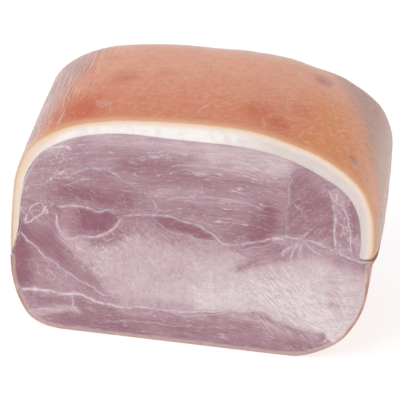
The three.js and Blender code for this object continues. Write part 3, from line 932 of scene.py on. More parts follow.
def build_fat(sizes, look):
    body = Body(sizes)
    rings = body.rings(sizes.straight_rings, sizes.round_rings)
    places = body.stations(0, RIGHT_RIM, sizes.fat_columns, 0)
    rise = mm(sizes.gap)
    plain = body.skin(places, rings)
    lay = surface_lay(body, plain, places)
    proud = rind_relief(plain, lay, look) + edge_rounding(rings, body, mm(look.edge_radius))[:, None]
    outside = body.skin(places, rings, proud=proud + rim_rounding(body, places, look), rise=rise)
    thickness = body.fat(places, rings)
    inside_skin = body.skin(places, rings, inset=thickness, rise=rise)
    share = np.linspace(0, 1, sizes.fat_layers + 1)
    layers = mix(outside[None], inside_skin[None], share[:, None, None, None])
    cream_x, cream_z, cream_reach = FAT_CREAM
    away = np.hypot(layers[..., 0] - cream_x, layers[..., 2] - cream_z)
    cream = 1 - smooth(0, cream_reach, away)
    cream = np.maximum(cream, (1 - smooth(*CREAMY_LEFT, layers[..., 0])) * CREAMY_SHARE)
    around, back = (np.broadcast_to(field, cream.shape) for field in lay)
    values = {"depth": share[:, None, None] * thickness, "lay": np.stack([around, back, cream], -1)}
    layers[:, 0, :, 1] += fat_cut_relief(layers[:, 0], values["depth"][:, 0], lay[0][0], look)
    mesh = Mesh({"depth": 1, "lay": 3})
    for layer, flipped in ((0, False), (-1, True)):
        picked = {name: value[layer] for name, value in values.items()}
        mesh.grid(layers[layer], picked, flipped=flipped)
    mesh.grid(layers[::-1, 0], {name: value[::-1, 0] for name, value in values.items()})
    for column, flipped in ((0, True), (-1, False)):
        picked = {name: value[:, :, column].swapaxes(0, 1) for name, value in values.items()}
        mesh.grid(layers[:, :, column].swapaxes(0, 1), picked, flipped=flipped)
    return mesh.build("ham_fat_and_rind", fat_material(look))


def fat_cut_relief(points, depth, round_section, look):
    """How far the cut through the fat lies behind its outer edge."""
    share = np.linspace(0, 1, len(points))[:, None]
    ends = smooth(0, FAT_ENDS[0], share) * smooth(0, FAT_ENDS[1], 1 - share)
    along = np.broadcast_to(round_section / FAT_LINES["round"], depth.shape)
    lines = value_noise(np.stack([along, depth / FAT_LINES["deep"]], -1), 1.0, FAT_LINES["seed"])
    lumps = value_noise(points, *FAT_LUMPS)
    return ends * mm(look.fat_relief) * (0.25 + 0.45 * lines + 0.3 * lumps)


class Wire:
    """A socket whose arithmetic adds the nodes it needs: Math for numbers and Vector Math for vectors."""

    def __init__(self, shader, socket):
        self.shader = shader
        self.socket = socket

    def math(self, operation, *others):
        is_vector = self.socket.type in ("VECTOR", "RGBA")
        kind = "ShaderNodeVectorMath" if is_vector else "ShaderNodeMath"
        if is_vector:
            others = [(v, v, v) if isinstance(v, (int, float)) else v for v in others]
        return self.shader.add(kind, {"operation": operation}, dict(enumerate([self, *others])))

    def __add__(self, other):
        return self.math("ADD", other)

    def __sub__(self, other):
        return self.math("SUBTRACT", other)

    def __rsub__(self, other):
        return self * -1 + other

    def __mul__(self, other):
        return self.math("MULTIPLY", other)

    def __abs__(self):
        return self.math("ABSOLUTE")

    def most(self, other):
        return self.math("MAXIMUM", other)

    __radd__ = __add__
    __rmul__ = __mul__


class Shader:
    """A material's node tree, with one method that adds any node."""

    def __init__(self, name):
        self.material = bpy.data.materials.new(name)
        self.material.use_nodes = True
        self.tree = self.material.node_tree
        self.tree.nodes.clear()

    def add(self, kind, settings=None, sockets=None, out=0):
        """A node of a kind, its settings made first, then the values or links of its sockets."""
        node = self.tree.nodes.new(kind)
        for name, value in (settings or {}).items():
            if name == "stops":
                set_stops(node.color_ramp, value)
            else:
                setattr(node, name, value)
        for key, value in (sockets or {}).items():
            if isinstance(value, Wire):
                self.tree.links.new(value.socket, node.inputs[key])
            else:
                node.inputs[key].default_value = value
        return Wire(self, node.outputs[out]) if node.outputs else None

    def place(self):
        """Where a point of the surface lies, in millimetres of the frame."""
        return self.add("ShaderNodeTexCoord", out="Object") * PER_METRE

    def value(self, name):
        return self.add("ShaderNodeAttribute", {"attribute_name": name}, out="Fac")

    def vector(self, name):
        return self.add("ShaderNodeAttribute", {"attribute_name": name}, out="Vector")

    def split(self, vector):
        node = self.add("ShaderNodeSeparateXYZ", None, {0: vector}).socket.node
        return [Wire(self, output) for output in node.outputs]

    def join(self, x, y, z):
        return self.add("ShaderNodeCombineXYZ", None, {0: x, 1: y, 2: z})

    def noise(self, vector, size, detail=2.0, roughness=0.5, flat=False):
        """Noise from 0 to 1 with features of about the given size in millimetres."""
        sockets = {"Vector": vector, "Scale": 1 / size, "Detail": detail, "Roughness": roughness}
        return self.add("ShaderNodeTexNoise", {"noise_dimensions": "2D" if flat else "3D"}, sockets)

    def warped(self, vector, size, by):
        """The vector moved about by up to the given length, in swirls of the given size."""
        sockets = {"Vector": vector, "Scale": 1 / size, "Detail": 2.0}
        return vector + (self.add("ShaderNodeTexNoise", None, sockets, out="Color") - 0.5) * (2 * by)

    def cracks(self, vector, size):
        """Distance to the edges of a net of cells of about the given size in millimetres."""
        sockets = {"Vector": vector, "Scale": 1 / size}
        return self.add("ShaderNodeTexVoronoi", {"feature": "DISTANCE_TO_EDGE"}, sockets)

    def ramp(self, value, low, high, start=0.0, end=1.0):
        """Runs smoothly from start to end as a value goes from low to high."""
        sockets = {"Value": value, "From Min": low, "From Max": high, "To Min": start, "To Max": end}
        return self.add("ShaderNodeMapRange", {"interpolation_type": "SMOOTHSTEP"}, sockets)

    def colours(self, value, stops):
        return self.add("ShaderNodeValToRGB", {"stops": stops}, {0: value})

    def mix(self, share, a, b, blend="MIX"):
        """Colour a turning to colour b by a share."""
        settings = {"data_type": "RGBA", "blend_type": blend}
        return self.add("ShaderNodeMix", settings, {0: share, 6: as_colour(a), 7: as_colour(b)}, out=2)

    def bump(self, height, millimetres, normal=None):
        """A normal for relief of the given depth in millimetres."""
        sockets = {"Height": height, "Distance": millimetres / PER_METRE, "Strength": 1.0}
        if normal:
            sockets["Normal"] = normal
        return self.add("ShaderNodeBump", None, sockets)

    def finish(self, **sockets):
        """The surface itself, from the values or links of its sockets."""
        titles = {name: name.replace("_", " ").title().replace("Ior", "IOR") for name in sockets}
        named = {titles[name]: value for name, value in sockets.items()}
        surface = self.add("ShaderNodeBsdfPrincipled", None, named)
        self.add("ShaderNodeOutputMaterial", None, {"Surface": surface})
        return self.material


def as_colour(value):
    return value if isinstance(value, Wire) else (*value, 1.0)


def set_stops(ramp, stops):
    """The positions and colours of a ramp."""
    while len(ramp.elements) > 1:
        ramp.elements.remove(ramp.elements[-1])
    for k, (position, tint) in enumerate(stops):
        element = ramp.elements[0] if k == 0 else ramp.elements.new(position)
        element.position = position
        element.color = (*tint, 1.0)


def seam_lines(shader, jag):
    """Cores of the seams, and the soft bands on both sides of them."""
    lines = []
    bands = []
    for letter in SEAM_SETS:
        distances = shader.split(shader.vector("seams_" + letter))
        strengths = shader.split(shader.vector("strengths_" + letter))
        for distance, strength in zip(distances, strengths):
            away = abs(distance + jag)
            lines.append(shader.ramp(away, 1.5, 0.5) * strength)
            bands.append(shader.ramp(away, 3.6, 0.6) * strength)
    return strongest(lines), strongest(bands)


def strongest(wires):
    """The highest of several values."""
    found = wires[0]
    for wire in wires[1:]:
        found = found.most(wire)
    return found


def painted_glint_threads(shader, grain, place, wet):
    """Painted glints: fine bright threads along the fibres where the flesh is moist, standing in for light
    shining off them.
    """
    wavering = shader.warped(grain, 2.2, 0.45)
    thick = shader.ramp(abs(shader.noise(wavering, 2.6, 2, 0.45, flat=True) - 0.5), 0.032, 0.004)
    thin = shader.ramp(abs(shader.noise(wavering * (1.6, 1, 1), 1.5, 1, 0.4, flat=True) - 0.5), 0.03, 0.002)
    patchy = shader.ramp(shader.noise(place, 8, 2), 0.4, 0.62)
    patchy_thin = shader.ramp(shader.noise(place, 5, 1), 0.42, 0.66)
    return (thick * patchy).most(thin * patchy_thin * 0.9) * wet


def lean_texture(shader, place, grain, look):
    """How much darker than its muscle each spot is, and the height of the finest fibres."""
    fibre = shader.noise(shader.warped(grain, 3.0, 0.35), 1.3, 3, 0.65, flat=True)
    bundle = shader.noise(grain, 4.2, 2, 0.5, flat=True)
    speck = shader.noise(place, 0.9, 2, 0.65)
    broad = shader.noise(place, 15, 3)
    darker = (fibre - 0.5) * look.fibre_contrast + (bundle - 0.5) * look.bundle_contrast
    darker = darker + (broad - 0.5) * look.broad_contrast + (speck - 0.5) * look.speck_contrast
    return darker, fibre * 0.5 + speck * 0.35, bundle


def brushed_ridges(shader, place, amount):
    """Height of short ridges that slant down to the right."""
    x, _, z = shader.split(shader.warped(place, 9, 1.6))
    slanted = shader.join((x - z) * 0.12, (x + z) * 0.7, 0.0)
    return (shader.noise(slanted, 1.3, 2, 0.5, flat=True) - 0.5) * amount


def white_net(shader, place, net, look):
    """Fine white lines that part the flesh into small cells, where the net covers it."""
    cells = shader.cracks(shader.warped(place, 6, 2.2), look.net_size * PER_METRE)
    broken = shader.ramp(shader.noise(place, 4, 2), 0.4, 0.6)
    return shader.ramp(cells, 0.085, 0.0) * broken * net * look.net_strength


def painted_glint_flecks(shader, place, look):
    """Painted glints: small bright flecks in patches, standing in for light off moisture."""
    flecks = shader.ramp(shader.noise(place, 1.4, 1), 0.64, 0.76)
    return flecks * shader.ramp(shader.noise(place, 12, 2), 0.4, 0.62) * look.glint_fleck_strength


def seam_white(shader, place, lines, bands, look):
    """How white the seams are: a worn line with tufts beside it."""
    worn = shader.ramp(shader.noise(place, 3.0, 2), 0.32, 0.54, 0.35, 1.0)
    tufts = bands * shader.ramp(shader.noise(place, 0.9, 2), 0.52, 0.66) * look.tuft_strength
    return (lines * worn * look.seam_strength).most(tufts)


def flesh_colour(shader, place, tone, glints, seams, look):
    """The flesh on the cut: the muscles by their tone, with painted glints in threads and flecks, a white
    net, seams and shreds of fat over them.
    """
    lines, bands = seams
    to_fat, along_fat, net = shader.split(shader.vector("margin"))
    stops = [(0.0, look.palest), (0.18, look.paler), (0.36, look.pale), (0.6, look.rosy), (0.8, look.deep),
             (1.0, look.darkest)]
    flesh = shader.colours(tone, stops)
    flesh = shader.mix(bands * look.seam_halo, flesh, look.seam_soft)
    # painted glints: the moist threads and flecks are pale colour for light off the wet flesh, mixed with the
    # real white net
    moist = glints.most(painted_glint_flecks(shader, place, look)).most(white_net(shader, place, net, look))
    flesh = shader.mix(moist, flesh, look.glints_and_net_white)
    flesh = shader.mix(seam_white(shader, place, lines, bands, look), flesh, look.seam)
    return shader.mix(ragged_margin(shader, to_fat, along_fat), flesh, look.margin)


def with_skin(shader, place, flesh, look):
    """The flesh of the cut, its creamy rim with a line of skin, and the skin beyond."""
    cut = shader.value("cut")
    edge = shader.value("edge") + (shader.noise(place, 5, 3) - 0.5) * 2.2
    width = look.skin_width * PER_METRE
    _, _, height_up = shader.split(place)
    rim = shader.ramp(edge, width * 1.5, width * 0.5) * cut
    rim = rim * shader.ramp(height_up, 10, 30, 0.45, 1.0)
    flesh = shader.mix(shader.ramp(edge, width * 3, width) * 0.5, flesh, look.cream)
    skin = skin_colour(shader, place, look)
    return shader.mix(shader.ramp(cut, 0.5, 0.98), skin, shader.mix(rim, flesh, skin))


def lean_material(look):
    shader = Shader("ham_lean_moist")
    place = shader.place()
    grain = shader.vector("grain")
    _, _, wet = shader.split(grain)
    darker, height, bundle = lean_texture(shader, place, grain, look)
    ridge_height = brushed_ridges(shader, place, shader.value("brushed"))
    # painted highlight and shade: the brushed ridges lighten the tone on their crests and darken it in their
    # hollows
    tone = shader.value("tone") + darker - ridge_height * look.brushed_painted_shading
    # painted glints: bright threads in the colour for light off the moist fibres, which also raise the fine
    # relief
    glints = painted_glint_threads(shader, grain, place, wet) * look.glint_strength
    jag = (shader.noise(place, 1.6, 3, 0.6) - 0.5) * 1.6
    seams = seam_lines(shader, jag)
    flesh = flesh_colour(shader, place, tone, glints, seams, look)
    height = height + seams[0] * -0.5 + glints * 0.8 + ridge_height * 0.8
    return shader.finish(
        base_color=with_skin(shader, place, flesh, look),
        roughness=shader.ramp(bundle, 0.3, 0.7, look.roughness - 0.08, look.roughness + 0.1),
        normal=shader.bump(height, look.bump_depth * PER_METRE),
        coat_weight=wet * 0.35,
        coat_roughness=0.2,
        specular_ior_level=SPECULAR,
        subsurface_weight=look.translucency,
        subsurface_radius=(1.0, 0.45, 0.35),
        subsurface_scale=SCATTER_SIZE,
    )


def ragged_margin(shader, to_fat, along_fat):
    """Strands of white fat that cling to the lean along the cap, most at its left end."""
    left = shader.ramp(along_fat, CAP_LENGTH * 0.4, CAP_LENGTH * 0.26, 0.1, 1.0)
    slanted = shader.join(along_fat * 0.07, to_fat - along_fat * 0.08, 3.0)
    white = shader.ramp(shader.noise(slanted, 1.2, 3, 0.7, flat=True) - to_fat * 0.05, 0.47, 0.56)
    return white * shader.ramp(to_fat, 6, 0.5) * left * 0.75


def skin_colour(shader, place, look):
    """The cooked outside of the lean: tan and pinkish brown, with creamy patches of fat."""
    patches = shader.noise(place * (1.0, 0.35, 1.0), 17, 3, 0.55)
    blush = shader.noise(place, 6, 3, 0.6)
    fat = shader.ramp(shader.noise(place * (1.0, 0.5, 1.0), 11, 3, 0.6), 0.55, 0.68)
    tan = shader.mix(shader.ramp(patches, 0.35, 0.65), look.skin_tan, look.skin_brown)
    tan = shader.mix(shader.ramp(blush, 0.45, 0.7) * 0.5, tan, look.rosy)
    return shader.mix(fat * 0.45, tan, look.cream)


def rind_spots(shader, around, back, spots):
    """Round soft spots, each given by its place, its reach and its strength."""
    found = []
    for (spot_around, spot_back), reach, strength in spots:
        away = shader.join((around - spot_around) * (1 / reach), (back - spot_back) * (1 / reach), 0.0)
        distance = shader.add("ShaderNodeVectorMath", {"operation": "LENGTH"}, {0: away}, out="Value")
        found.append(shader.ramp(distance, 1.0, 0.1) * strength)
    return strongest(found)


def rind_streaks(shader, around, back):
    """Fine lines that run back from the cut on the left and down the side on the right."""
    swirl = shader.warped(shader.join(around, back, 0.0), 26, 3.0)
    around_swirl, back_swirl, _ = shader.split(swirl)
    backwards = shader.noise(shader.join(around_swirl, back_swirl * 0.06, 1.0), 1.6, 3, 0.7, flat=True)
    downwards = shader.noise(shader.join(around_swirl * 0.06, back_swirl, 2.0), 1.3, 3, 0.65, flat=True)
    slanted = shader.join(around * 0.2 + back * 0.1, back * 0.5 - around * 0.25, 4.0)
    plain = shader.noise(slanted, 1.2, 3, 0.6, flat=True)
    left = shader.ramp(around - back * 0.15, -45, -80)
    right = shader.ramp(around + back * 0.3, 90, 145)
    sides = left.most(right * 0.45) * shader.ramp(back, 135, 95, 0.25, 1.0)
    return backwards * left + downwards * right + plain * (1 - sides), sides


def plain_rind(shader, around, back, clouds, mottle, look):
    """Orange rind: redder in front, yellower on the right, paler and pinker behind, partly its own tone and
    partly painted sheen, with red patches and a painted sheen along the far edge.
    """
    shift = (clouds - 0.5) * CLOUD_SHIFT
    # paler towards the far end: partly the rind's own pinker tone, partly painted sheen of grazing light
    tint = shader.mix(shader.ramp(back + shift * 2, 4, 96), look.rind_front, look.rind_back_tone_and_sheen)
    tint = shader.mix(shader.ramp(clouds, 0.52, 0.74) * 0.4, tint, look.rind_red)
    yellow = shader.ramp(around + shift, 66, 96) * shader.ramp(back + shift, 84, 50)
    tint = shader.mix(yellow * 0.8, tint, look.rind_yellow)
    tint = shader.mix(shader.ramp(mottle, 0.42, 0.75, 0.0, 0.3), tint, look.rind_pale)
    red = rind_spots(shader, around + (mottle - 0.5) * 10, back + (mottle - 0.5) * 8, RED_SPOTS)
    tint = shader.mix(red, tint, look.rind_red)
    tint = shader.mix(shader.ramp(mottle, 0.48, 0.28, 0.0, 0.22), tint, look.rind_red)
    # painted sheen: a pale band where the rind rounds over at the far end, standing in for reflected light
    far = shader.ramp(back + shift * 0.5, 80, 100) * shader.ramp(back + shift, 150, 105, 0.3, 1.0)
    return shader.mix(far * 0.7, tint, look.rind_far_sheen_and_marks)


def painted_side_sheen_and_shade(shader, around, back, clouds):
    """How strongly painted sheen greys the rind on the left, and painted shade with sheen darkens and greys
    it on the right, fading towards the far end.
    """
    shift = (clouds - 0.5) * CLOUD_SHIFT
    behind = shader.ramp(back + shift, 150, 90, 0.15, 1.0)
    left = shader.ramp(around * -1 + back * 0.25 + shift * 0.3, 74, 97)
    right = shader.ramp(around + back * 0.6 + shift * 0.3, 138, 162)
    return left * behind, right * behind


def lined_rind(shader, tint, lines, sides, sheened, look):
    """The rind with its fine dark lines, greyer on the sides under painted sheen and shade, and its pale
    lines, partly real marks and partly painted sheen.
    """
    pale_lines = shader.ramp(lines, 0.55, 0.66) * shader.ramp(sides, 0.0, 1.0, 0.25, 1.0)
    dark_lines = shader.ramp(lines, 0.48, 0.36) * shader.ramp(sides, 0.0, 1.0, 0.1, 1.0)
    line_colour = shader.mix(sheened, look.rind_line, look.rind_line_sheened)
    tint = shader.mix(dark_lines * 0.5, tint, line_colour)
    return shader.mix(pale_lines * 0.65, tint, look.rind_far_sheen_and_marks)


def rind_creases(shader, place, around, back):
    """Fine pale creases that meet in a wide net, broken up in places."""
    wandering = shader.warped(shader.join(around, back * 0.6, 5.0), 14, 3.0)
    creases = shader.ramp(shader.cracks(wandering, 21), 0.028, 0.0)
    return creases * shader.ramp(shader.noise(place, 12, 2), 0.42, 0.58)


def rind_colour(shader, place, lay, look):
    """Colour of the rind with its painted sheen and shade, the height of its marks and its mottling."""
    around, back, cream = shader.split(lay)
    lines, sides = rind_streaks(shader, around, back)
    clouds = shader.noise(place, 22, 3, 0.55)
    mottle = shader.noise(place, 3.2, 3, 0.65)
    left, right = painted_side_sheen_and_shade(shader, around, back, clouds)
    tint = plain_rind(shader, around, back, clouds, mottle, look)
    # painted sheen: the greyish left shoulder stands in for light reflected at a grazing angle
    tint = shader.mix(left * 0.85, tint, look.rind_left_sheen)
    # painted shade and sheen: the darker, greyer right side
    tint = shader.mix(right * 0.85, tint, look.rind_right_shade_and_sheen)
    purple = rind_spots(shader, around + (mottle - 0.5) * 6, back, PURPLE_SPOTS)
    tint = shader.mix(purple, tint, look.rind_purple)
    tint = lined_rind(shader, tint, lines, sides, left.most(right), look)
    creases = rind_creases(shader, place, around, back)
    tint = shader.mix(creases * 0.28, tint, look.rind_far_sheen_and_marks)
    rim = shader.ramp(back + (mottle - 0.5) * 3, 5.5, 0.5)
    tint = shader.mix(rim * 0.7, tint, shader.mix(cream, look.rim_orange, look.rim_yellow))
    return tint, lines * 0.7 + mottle * 0.5 - creases * 0.5, mottle


def fat_colour(shader, place, lay, depth, look):
    """White fat, creamier to the left, with faint lines along the rind and an amber edge under it."""
    around, _, cream = shader.split(lay)
    lines = shader.noise(shader.join(around * 0.06, depth, 0.0), 1.2, 3, 0.65, flat=True)
    lumps = shader.noise(place, 7, 2, 0.5)
    side = shader.ramp(around + (lumps - 0.5) * 30, 22, 74)
    tint = shader.mix(side, shader.mix(cream * 0.8, look.fat, look.fat_cream), look.fat_side)
    tint = shader.mix(shader.ramp(lines, 0.5, 0.64, 0.0, 0.8) * cream, tint, look.fat_tan)
    tint = shader.mix(shader.ramp(lines, 0.48, 0.38, 0.0, 0.9) * cream, tint, look.fat)
    tint = shader.mix(shader.ramp(lumps, 0.42, 0.72, 0.0, 0.5), tint, look.fat_pink)
    corner = shader.ramp(around, -124, -104) * shader.ramp(around, -60, -80)
    ragged = (depth + (shader.noise(place, 1.8, 3, 0.6) - 0.5) * 0.9) * (1 - corner * 0.42)
    stops = [(0.0, look.rim_orange), (0.12, look.rim_amber), (0.3, look.rim_yellow), (0.7, look.rim_cream)]
    amber = shader.colours(ragged * 0.16, stops)
    amber = shader.mix(cream * 0.75, amber, look.rim_yellow)
    return shader.mix(shader.ramp(ragged, 6.5, 2.5), tint, amber), lines


def fat_material(look):
    shader = Shader("ham_fat_and_rind_glossy")
    place = shader.place()
    lay = shader.vector("lay")
    depth = shader.value("depth")
    rind, rind_height, mottle = rind_colour(shader, place, lay, look)
    fat, lines = fat_colour(shader, place, lay, depth, look)
    base = shader.mix(shader.ramp(depth, 0.02, 0.2), rind, fat)
    height = rind_height + shader.noise(place, 1.0, 2) * 0.25
    height = height * shader.ramp(depth, 0.3, 0.0) + lines * shader.ramp(depth, 0.0, 0.3) * 0.5
    return shader.finish(
        base_color=base,
        roughness=shader.ramp(mottle, 0.3, 0.7, look.rind_roughness - 0.06, look.rind_roughness + 0.1),
        normal=shader.bump(height, look.rind_bump * PER_METRE),
        coat_weight=shader.ramp(depth, 0.3, 0.0, 0.05, 0.2),
        coat_roughness=0.25,
        specular_ior_level=SPECULAR,
        subsurface_weight=look.fat_translucency,
        subsurface_radius=(1.0, 0.6, 0.45),
        subsurface_scale=SCATTER_SIZE,
    )


def plain_material(name, tint, glow):
    shader = Shader(name)
    cloud = shader.noise(shader.place(), 900, 1)
    base = shader.mix(shader.ramp(cloud, 0.3, 0.7) * 0.03, tint, WHITE[:3])
    return shader.finish(base_color=base, roughness=0.9, emission_color=WHITE, emission_strength=glow)


def add_floor(stage):
    mesh = bpy.data.meshes.new("floor")
    half = stage.floor_size / 2
    corners = [(-half, -half, 0), (half, -half, 0), (half, half, 0), (-half, half, 0)]
    mesh.from_pydata(corners, [], [(0, 1, 2, 3)])
    mesh.materials.append(plain_material("floor_pale", stage.floor_colour, stage.floor_glow))
    floor = bpy.data.objects.new("floor", mesh)
    bpy.context.scene.collection.objects.link(floor)


def add_light(name, place, target, size, power):
    light = bpy.data.lights.new(name, "AREA")
    light.size = size
    light.energy = power
    lamp = bpy.data.objects.new(name, light)
    lamp.location = place
    lamp.rotation_euler = (Vector(target) - Vector(place)).to_track_quat("-Z", "Y").to_euler()
    bpy.context.scene.collection.objects.link(lamp)


def add_world(stage):
    world = bpy.data.worlds.new("studio")
    world.use_nodes = True
    sky = world.node_tree.nodes["Background"]
    sky.inputs["Color"].default_value = WHITE
    sky.inputs["Strength"].default_value = stage.sky
    bpy.context.scene.world = world


def add_camera(stage):
    azimuth, elevation = stage.camera_azimuth, stage.camera_elevation
    away = Vector((sin(azimuth) * cos(elevation), -cos(azimuth) * cos(elevation), sin(elevation)))
    target = Vector(stage.camera_target)
    camera = bpy.data.objects.new("camera", bpy.data.cameras.new("camera"))
    camera.data.lens = stage.camera_lens
    camera.location = target + away * stage.camera_distance
    camera.rotation_euler = (-away).to_track_quat("-Z", "Y").to_euler()
    bpy.context.scene.collection.objects.link(camera)
    bpy.context.scene.camera = camera


def metres(name, description, default):
    return FloatProperty(name=name, description=description, default=default, precision=5, unit="LENGTH")


def fraction(name, description, default):
    return FloatProperty(name=name, description=description, default=default, min=0, soft_max=1)


def levels(name, description, *rgb):
    """A colour given in the 0 to 255 levels of a picture."""
    linear = [((level / 255 + 0.055) / 1.055) ** 2.4 for level in rgb]
    return FloatVectorProperty(name=name, description=description, default=linear,
                               subtype="COLOR", min=0, max=1)


class HamSizes(PropertyGroup):
    """Sizes of the whole piece."""

    depth: metres("Depth", "From the cut to the far end", 0.124)
    pole_height: metres("Pole height", "Height at which the far end closes", 0.080)
    round_left: metres("Left rounding", "Depth over which the left side rounds into the far end", 0.038)
    round_right: metres("Right rounding", "Depth over which the right side rounds into the far end", 0.032)
    round_top: metres("Top rounding", "Depth over which the top rounds into the far end", 0.042)
    round_bottom: metres("Bottom rounding", "Depth over which the underside rounds over", 0.022)
    side_shift: metres("Side shift", "Sideways drift of the far end", -0.0025)
    back_fat: metres("Back fat", "Thickness of the fat on the far end", 0.009)
    gap: metres("Gap", "Between the lean and the fat", 0.00005)
    rim_gap: metres("Rim gap", "Between the lean and the fat's rims", 0.00015)
    straight_rings: IntProperty(name="Straight rings", description="Rings along the sides", default=30)
    round_rings: IntProperty(name="Round rings", description="Rings over the rounded end", default=30)
    lean_cap_columns: IntProperty(name="Lean columns under fat", description="Points there", default=225)
    lean_base_columns: IntProperty(name="Bare lean columns", description="Points below it", default=191)
    fat_columns: IntProperty(name="Fat columns", description="Points along the fat", default=300)
    fat_layers: IntProperty(name="Fat layers", description="Points across the fat's cut", default=14)


class HamLeanLook(PropertyGroup):
    """Finish of the lean."""

    palest: levels("Palest", "Lower right of the pale muscle", 232, 218, 217)
    paler: levels("Paler", "Right of the pale muscle", 212, 193, 196)
    pale: levels("Pale", "Middle of the pale muscle", 202, 172, 180)
    rosy: levels("Rosy", "Upper muscle", 177, 140, 151)
    deep: levels("Deep", "Bottom muscle", 161, 117, 129)
    darkest: levels("Darkest", "Dark patches", 147, 91, 109)
    seam: levels("Seam", "Connective tissue", 240, 220, 226)
    seam_soft: levels("Seam sides", "Soft bands beside the connective tissue", 200, 172, 182)
    # pale colour of the painted glints and flecks, and of the real white net
    glints_and_net_white: levels("Wet streak", "Moist streaks and flecks", 236, 218, 222)
    margin: levels("Margin", "Shreds of fat along the cap", 226, 212, 210)
    skin_tan: levels("Skin tan", "Outside of the lean", 203, 158, 146)
    skin_brown: levels("Skin brown", "Darker outside of the lean", 184, 132, 114)
    cream: levels("Cream", "Fat on the outside of the lean", 226, 206, 192)
    edge_radius: metres("Edge radius", "Rounding of the cut's edge", 0.0007)
    skin_width: metres("Skin width", "Width of the skin seen on the cut", 0.0011)
    seam_depth: metres("Seam depth", "Depth of the seams", 0.0006)
    crown: metres("Crown", "How far the muscles stand proud of their edges", 0.0005)
    fibre_relief: metres("Fibre relief", "Height of the fibres", 0.0003)
    bump_depth: metres("Bump depth", "Height of the finest fibres", 0.0004)
    fibre_contrast: fraction("Fibre contrast", "How strongly the finest fibres show", 0.42)
    bundle_contrast: fraction("Bundle contrast", "How strongly the fibre bundles show", 0.26)
    broad_contrast: fraction("Broad contrast", "How strongly broad patches show", 0.2)
    speck_contrast: fraction("Speck contrast", "How strongly specks show", 0.32)
    # strength of the painted highlight and shade on the brushed ridges
    brushed_painted_shading: fraction("Brushed contrast", "How strongly the brushed ridges show", 0.9)
    # how strongly the painted glint threads show
    glint_strength: fraction("Streak strength", "How white the moist streaks are", 0.95)
    # how strongly the painted glint flecks show
    glint_fleck_strength: fraction("Fleck strength", "How white the flecks are", 0.45)
    net_size: metres("Net size", "Width of the cells of the white net", 0.0065)
    net_strength: fraction("Net strength", "How white the net is", 0.8)
    seam_strength: fraction("Seam strength", "How white the seams are", 0.85)
    seam_halo: fraction("Seam sides strength", "How pale the bands beside the seams are", 0.55)
    tuft_strength: fraction("Tuft strength", "How white the tufts beside the seams are", 0.35)
    roughness: fraction("Roughness", "How dull the cut is", 0.4)
    translucency: fraction("Translucency", "How much light the lean scatters within", 0.12)


class HamFatLook(PropertyGroup):
    """Finish of the fat and its rind."""

    rind_front: levels("Rind front", "Rind near the cut", 219, 132, 94)
    # partly the rind's own paler tone, partly painted sheen towards the far end
    rind_back_tone_and_sheen: levels("Rind back", "Rind towards the far end", 234, 172, 148)
    rind_red: levels("Rind red", "Redder patches and marks", 206, 100, 64)
    rind_yellow: levels("Rind yellow", "Yellower orange on the right", 227, 142, 80)
    rind_pale: levels("Rind pale", "Pale creases and mottling", 236, 184, 160)
    # painted sheen at the far edge; the same pale colour also paints the real pale lines and creases
    rind_far_sheen_and_marks: levels("Rind far", "Palest rind at the far edge, and pale lines", 240, 204, 190)
    # painted sheen on the left shoulder
    rind_left_sheen: levels("Rind grey", "Greyish left shoulder", 205, 172, 170)
    # painted shade and sheen on the right side
    rind_right_shade_and_sheen: levels("Rind side", "Greyish right side", 158, 124, 116)
    rind_line: levels("Rind line", "Fine dark lines", 176, 98, 76)
    # dark lines greyed by the painted sheen and shade of the sides
    rind_line_sheened: levels("Rind line grey", "Fine dark lines on the greyish sides", 150, 118, 122)
    rind_purple: levels("Rind purple", "Small bruises", 170, 104, 104)
    rim_orange: levels("Rim orange", "Cut edge of the rind", 225, 170, 132)
    rim_amber: levels("Rim amber", "Just under the rind", 233, 194, 160)
    rim_yellow: levels("Rim yellow", "Rim of the fat", 239, 214, 192)
    rim_cream: levels("Rim cream", "Where the rim fades into the fat", 243, 224, 212)
    fat: levels("Fat", "White fat", 250, 243, 239)
    fat_cream: levels("Fat cream", "Creamier fat", 240, 222, 206)
    fat_tan: levels("Fat tan", "Darker lines in the creamier fat", 222, 192, 172)
    fat_side: levels("Fat side", "Greyer fat on the right", 222, 208, 203)
    fat_pink: levels("Fat pink", "Pink tinge of the fat", 232, 216, 213)
    left_rim_depth: metres("Left rim depth", "Rounding of the fat's left rim", 0.0003)
    right_rim_depth: metres("Right rim depth", "Rounding of the fat's right rim", 0.0030)
    rim_length: metres("Rim length", "Distance over which the rims round", 0.008)
    edge_radius: metres("Edge radius", "Rounding of the rind's edge at the cut", 0.0009)
    rind_relief: metres("Rind relief", "Depth of the rind's dents", 0.0009)
    fat_relief: metres("Fat relief", "Depth of the unevenness of the fat's cut", 0.0006)
    rind_bump: metres("Rind bump", "Depth of the rind's finest marks", 0.0005)
    rind_roughness: fraction("Rind roughness", "How dull the rind is", 0.42)
    fat_translucency: fraction("Translucency", "How much light the fat scatters within", 0.15)


class HamStage(PropertyGroup):
    """Floor, light and camera."""

    floor_colour: levels("Floor colour", "Pale floor", 180, 180, 180)
    floor_size: metres("Floor size", "Side of the floor", 6.0)
    floor_glow: FloatProperty(name="Floor glow", description="Light the floor gives off", default=0.68)
    sky: FloatProperty(name="Sky", description="Strength of the light from all round", default=0.62)
    key_power: FloatProperty(name="Key power", description="Main light in watts", default=11.0)
    fill_power: FloatProperty(name="Fill power", description="Light from the right in watts", default=0.35)
    camera_lens: FloatProperty(name="Lens", description="Focal length", default=135, unit="CAMERA")
    camera_distance: metres("Camera distance", "From the camera to its target", 0.9040)
    camera_azimuth: FloatProperty(name="Azimuth", description="Turn to the right",
                                  default=radians(10.9), subtype="ANGLE")
    camera_elevation: FloatProperty(name="Elevation", description="Height over the horizon",
                                    default=radians(32.4), subtype="ANGLE")
    camera_target: FloatVectorProperty(name="Target", description="What the camera looks at",
                                       default=(0.0081, -0.062, 0.1108), subtype="XYZ", unit="LENGTH")


def place_piece(piece, node):
    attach(piece, "root")
    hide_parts(node)


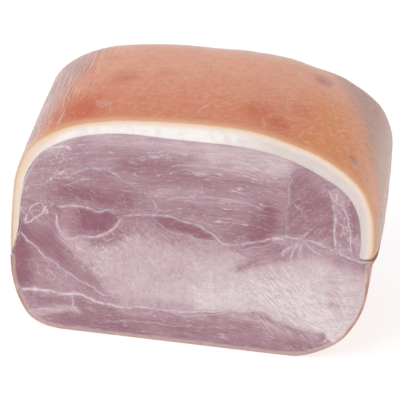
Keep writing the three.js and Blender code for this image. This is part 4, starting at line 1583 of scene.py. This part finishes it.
class HAM_OT_lean(Operator):
    """Build the lean with its muscles and seams"""

    bl_idname = "ham.lean"
    bl_label = "Lean"

    def execute(self, context):
        scene = context.scene
        place_piece(build_lean(scene.ham_sizes, scene.ham_lean_look), "lean")
        return {"FINISHED"}


class HAM_OT_fat_and_rind(Operator):
    """Build the cap of fat with its rind"""

    bl_idname = "ham.fat_and_rind"
    bl_label = "Fat and rind"

    def execute(self, context):
        scene = context.scene
        place_piece(build_fat(scene.ham_sizes, scene.ham_fat_look), "fat_with_rind")
        return {"FINISHED"}


class HAM_OT_stage(Operator):
    """Add the floor, the lights and the camera"""

    bl_idname = "ham.stage"
    bl_label = "Stage"

    def execute(self, context):
        stage = context.scene.ham_stage
        add_floor(stage)
        add_world(stage)
        add_light("key", KEY_PLACE, LIGHT_TARGET, KEY_SIZE, stage.key_power)
        add_light("fill", FILL_PLACE, LIGHT_TARGET, FILL_SIZE, stage.fill_power)
        add_camera(stage)
        context.scene.view_settings.view_transform = "Standard"
        return {"FINISHED"}


class HAM_PT_panel(Panel):
    """Buttons and values in the sidebar"""

    bl_label = "Ham"
    bl_idname = "HAM_PT_panel"
    bl_space_type = "VIEW_3D"
    bl_region_type = "UI"
    bl_category = "Ham"

    def draw(self, context):
        for operator in OPERATORS:
            self.layout.operator(operator.bl_idname)
        for name in GROUPS:
            group = getattr(context.scene, name)
            box = self.layout.box()
            for key in group.__annotations__:
                box.prop(group, key)


OPERATORS = (HAM_OT_lean, HAM_OT_fat_and_rind, HAM_OT_stage)
GROUPS = {
    "ham_sizes": HamSizes,
    "ham_lean_look": HamLeanLook,
    "ham_fat_look": HamFatLook,
    "ham_stage": HamStage,
}
CLASSES = (*GROUPS.values(), *OPERATORS, HAM_PT_panel)


def register():
    for item in CLASSES:
        bpy.utils.register_class(item)
    for name, group in GROUPS.items():
        setattr(bpy.types.Scene, name, PointerProperty(type=group))


def unregister():
    for name in GROUPS:
        delattr(bpy.types.Scene, name)
    for item in reversed(CLASSES):
        bpy.utils.unregister_class(item)


def main():
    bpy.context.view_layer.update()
    register()
    bpy.ops.ham.lean()
    bpy.ops.ham.fat_and_rind()
    bpy.ops.ham.stage()


if __name__ == "__main__":
    main()
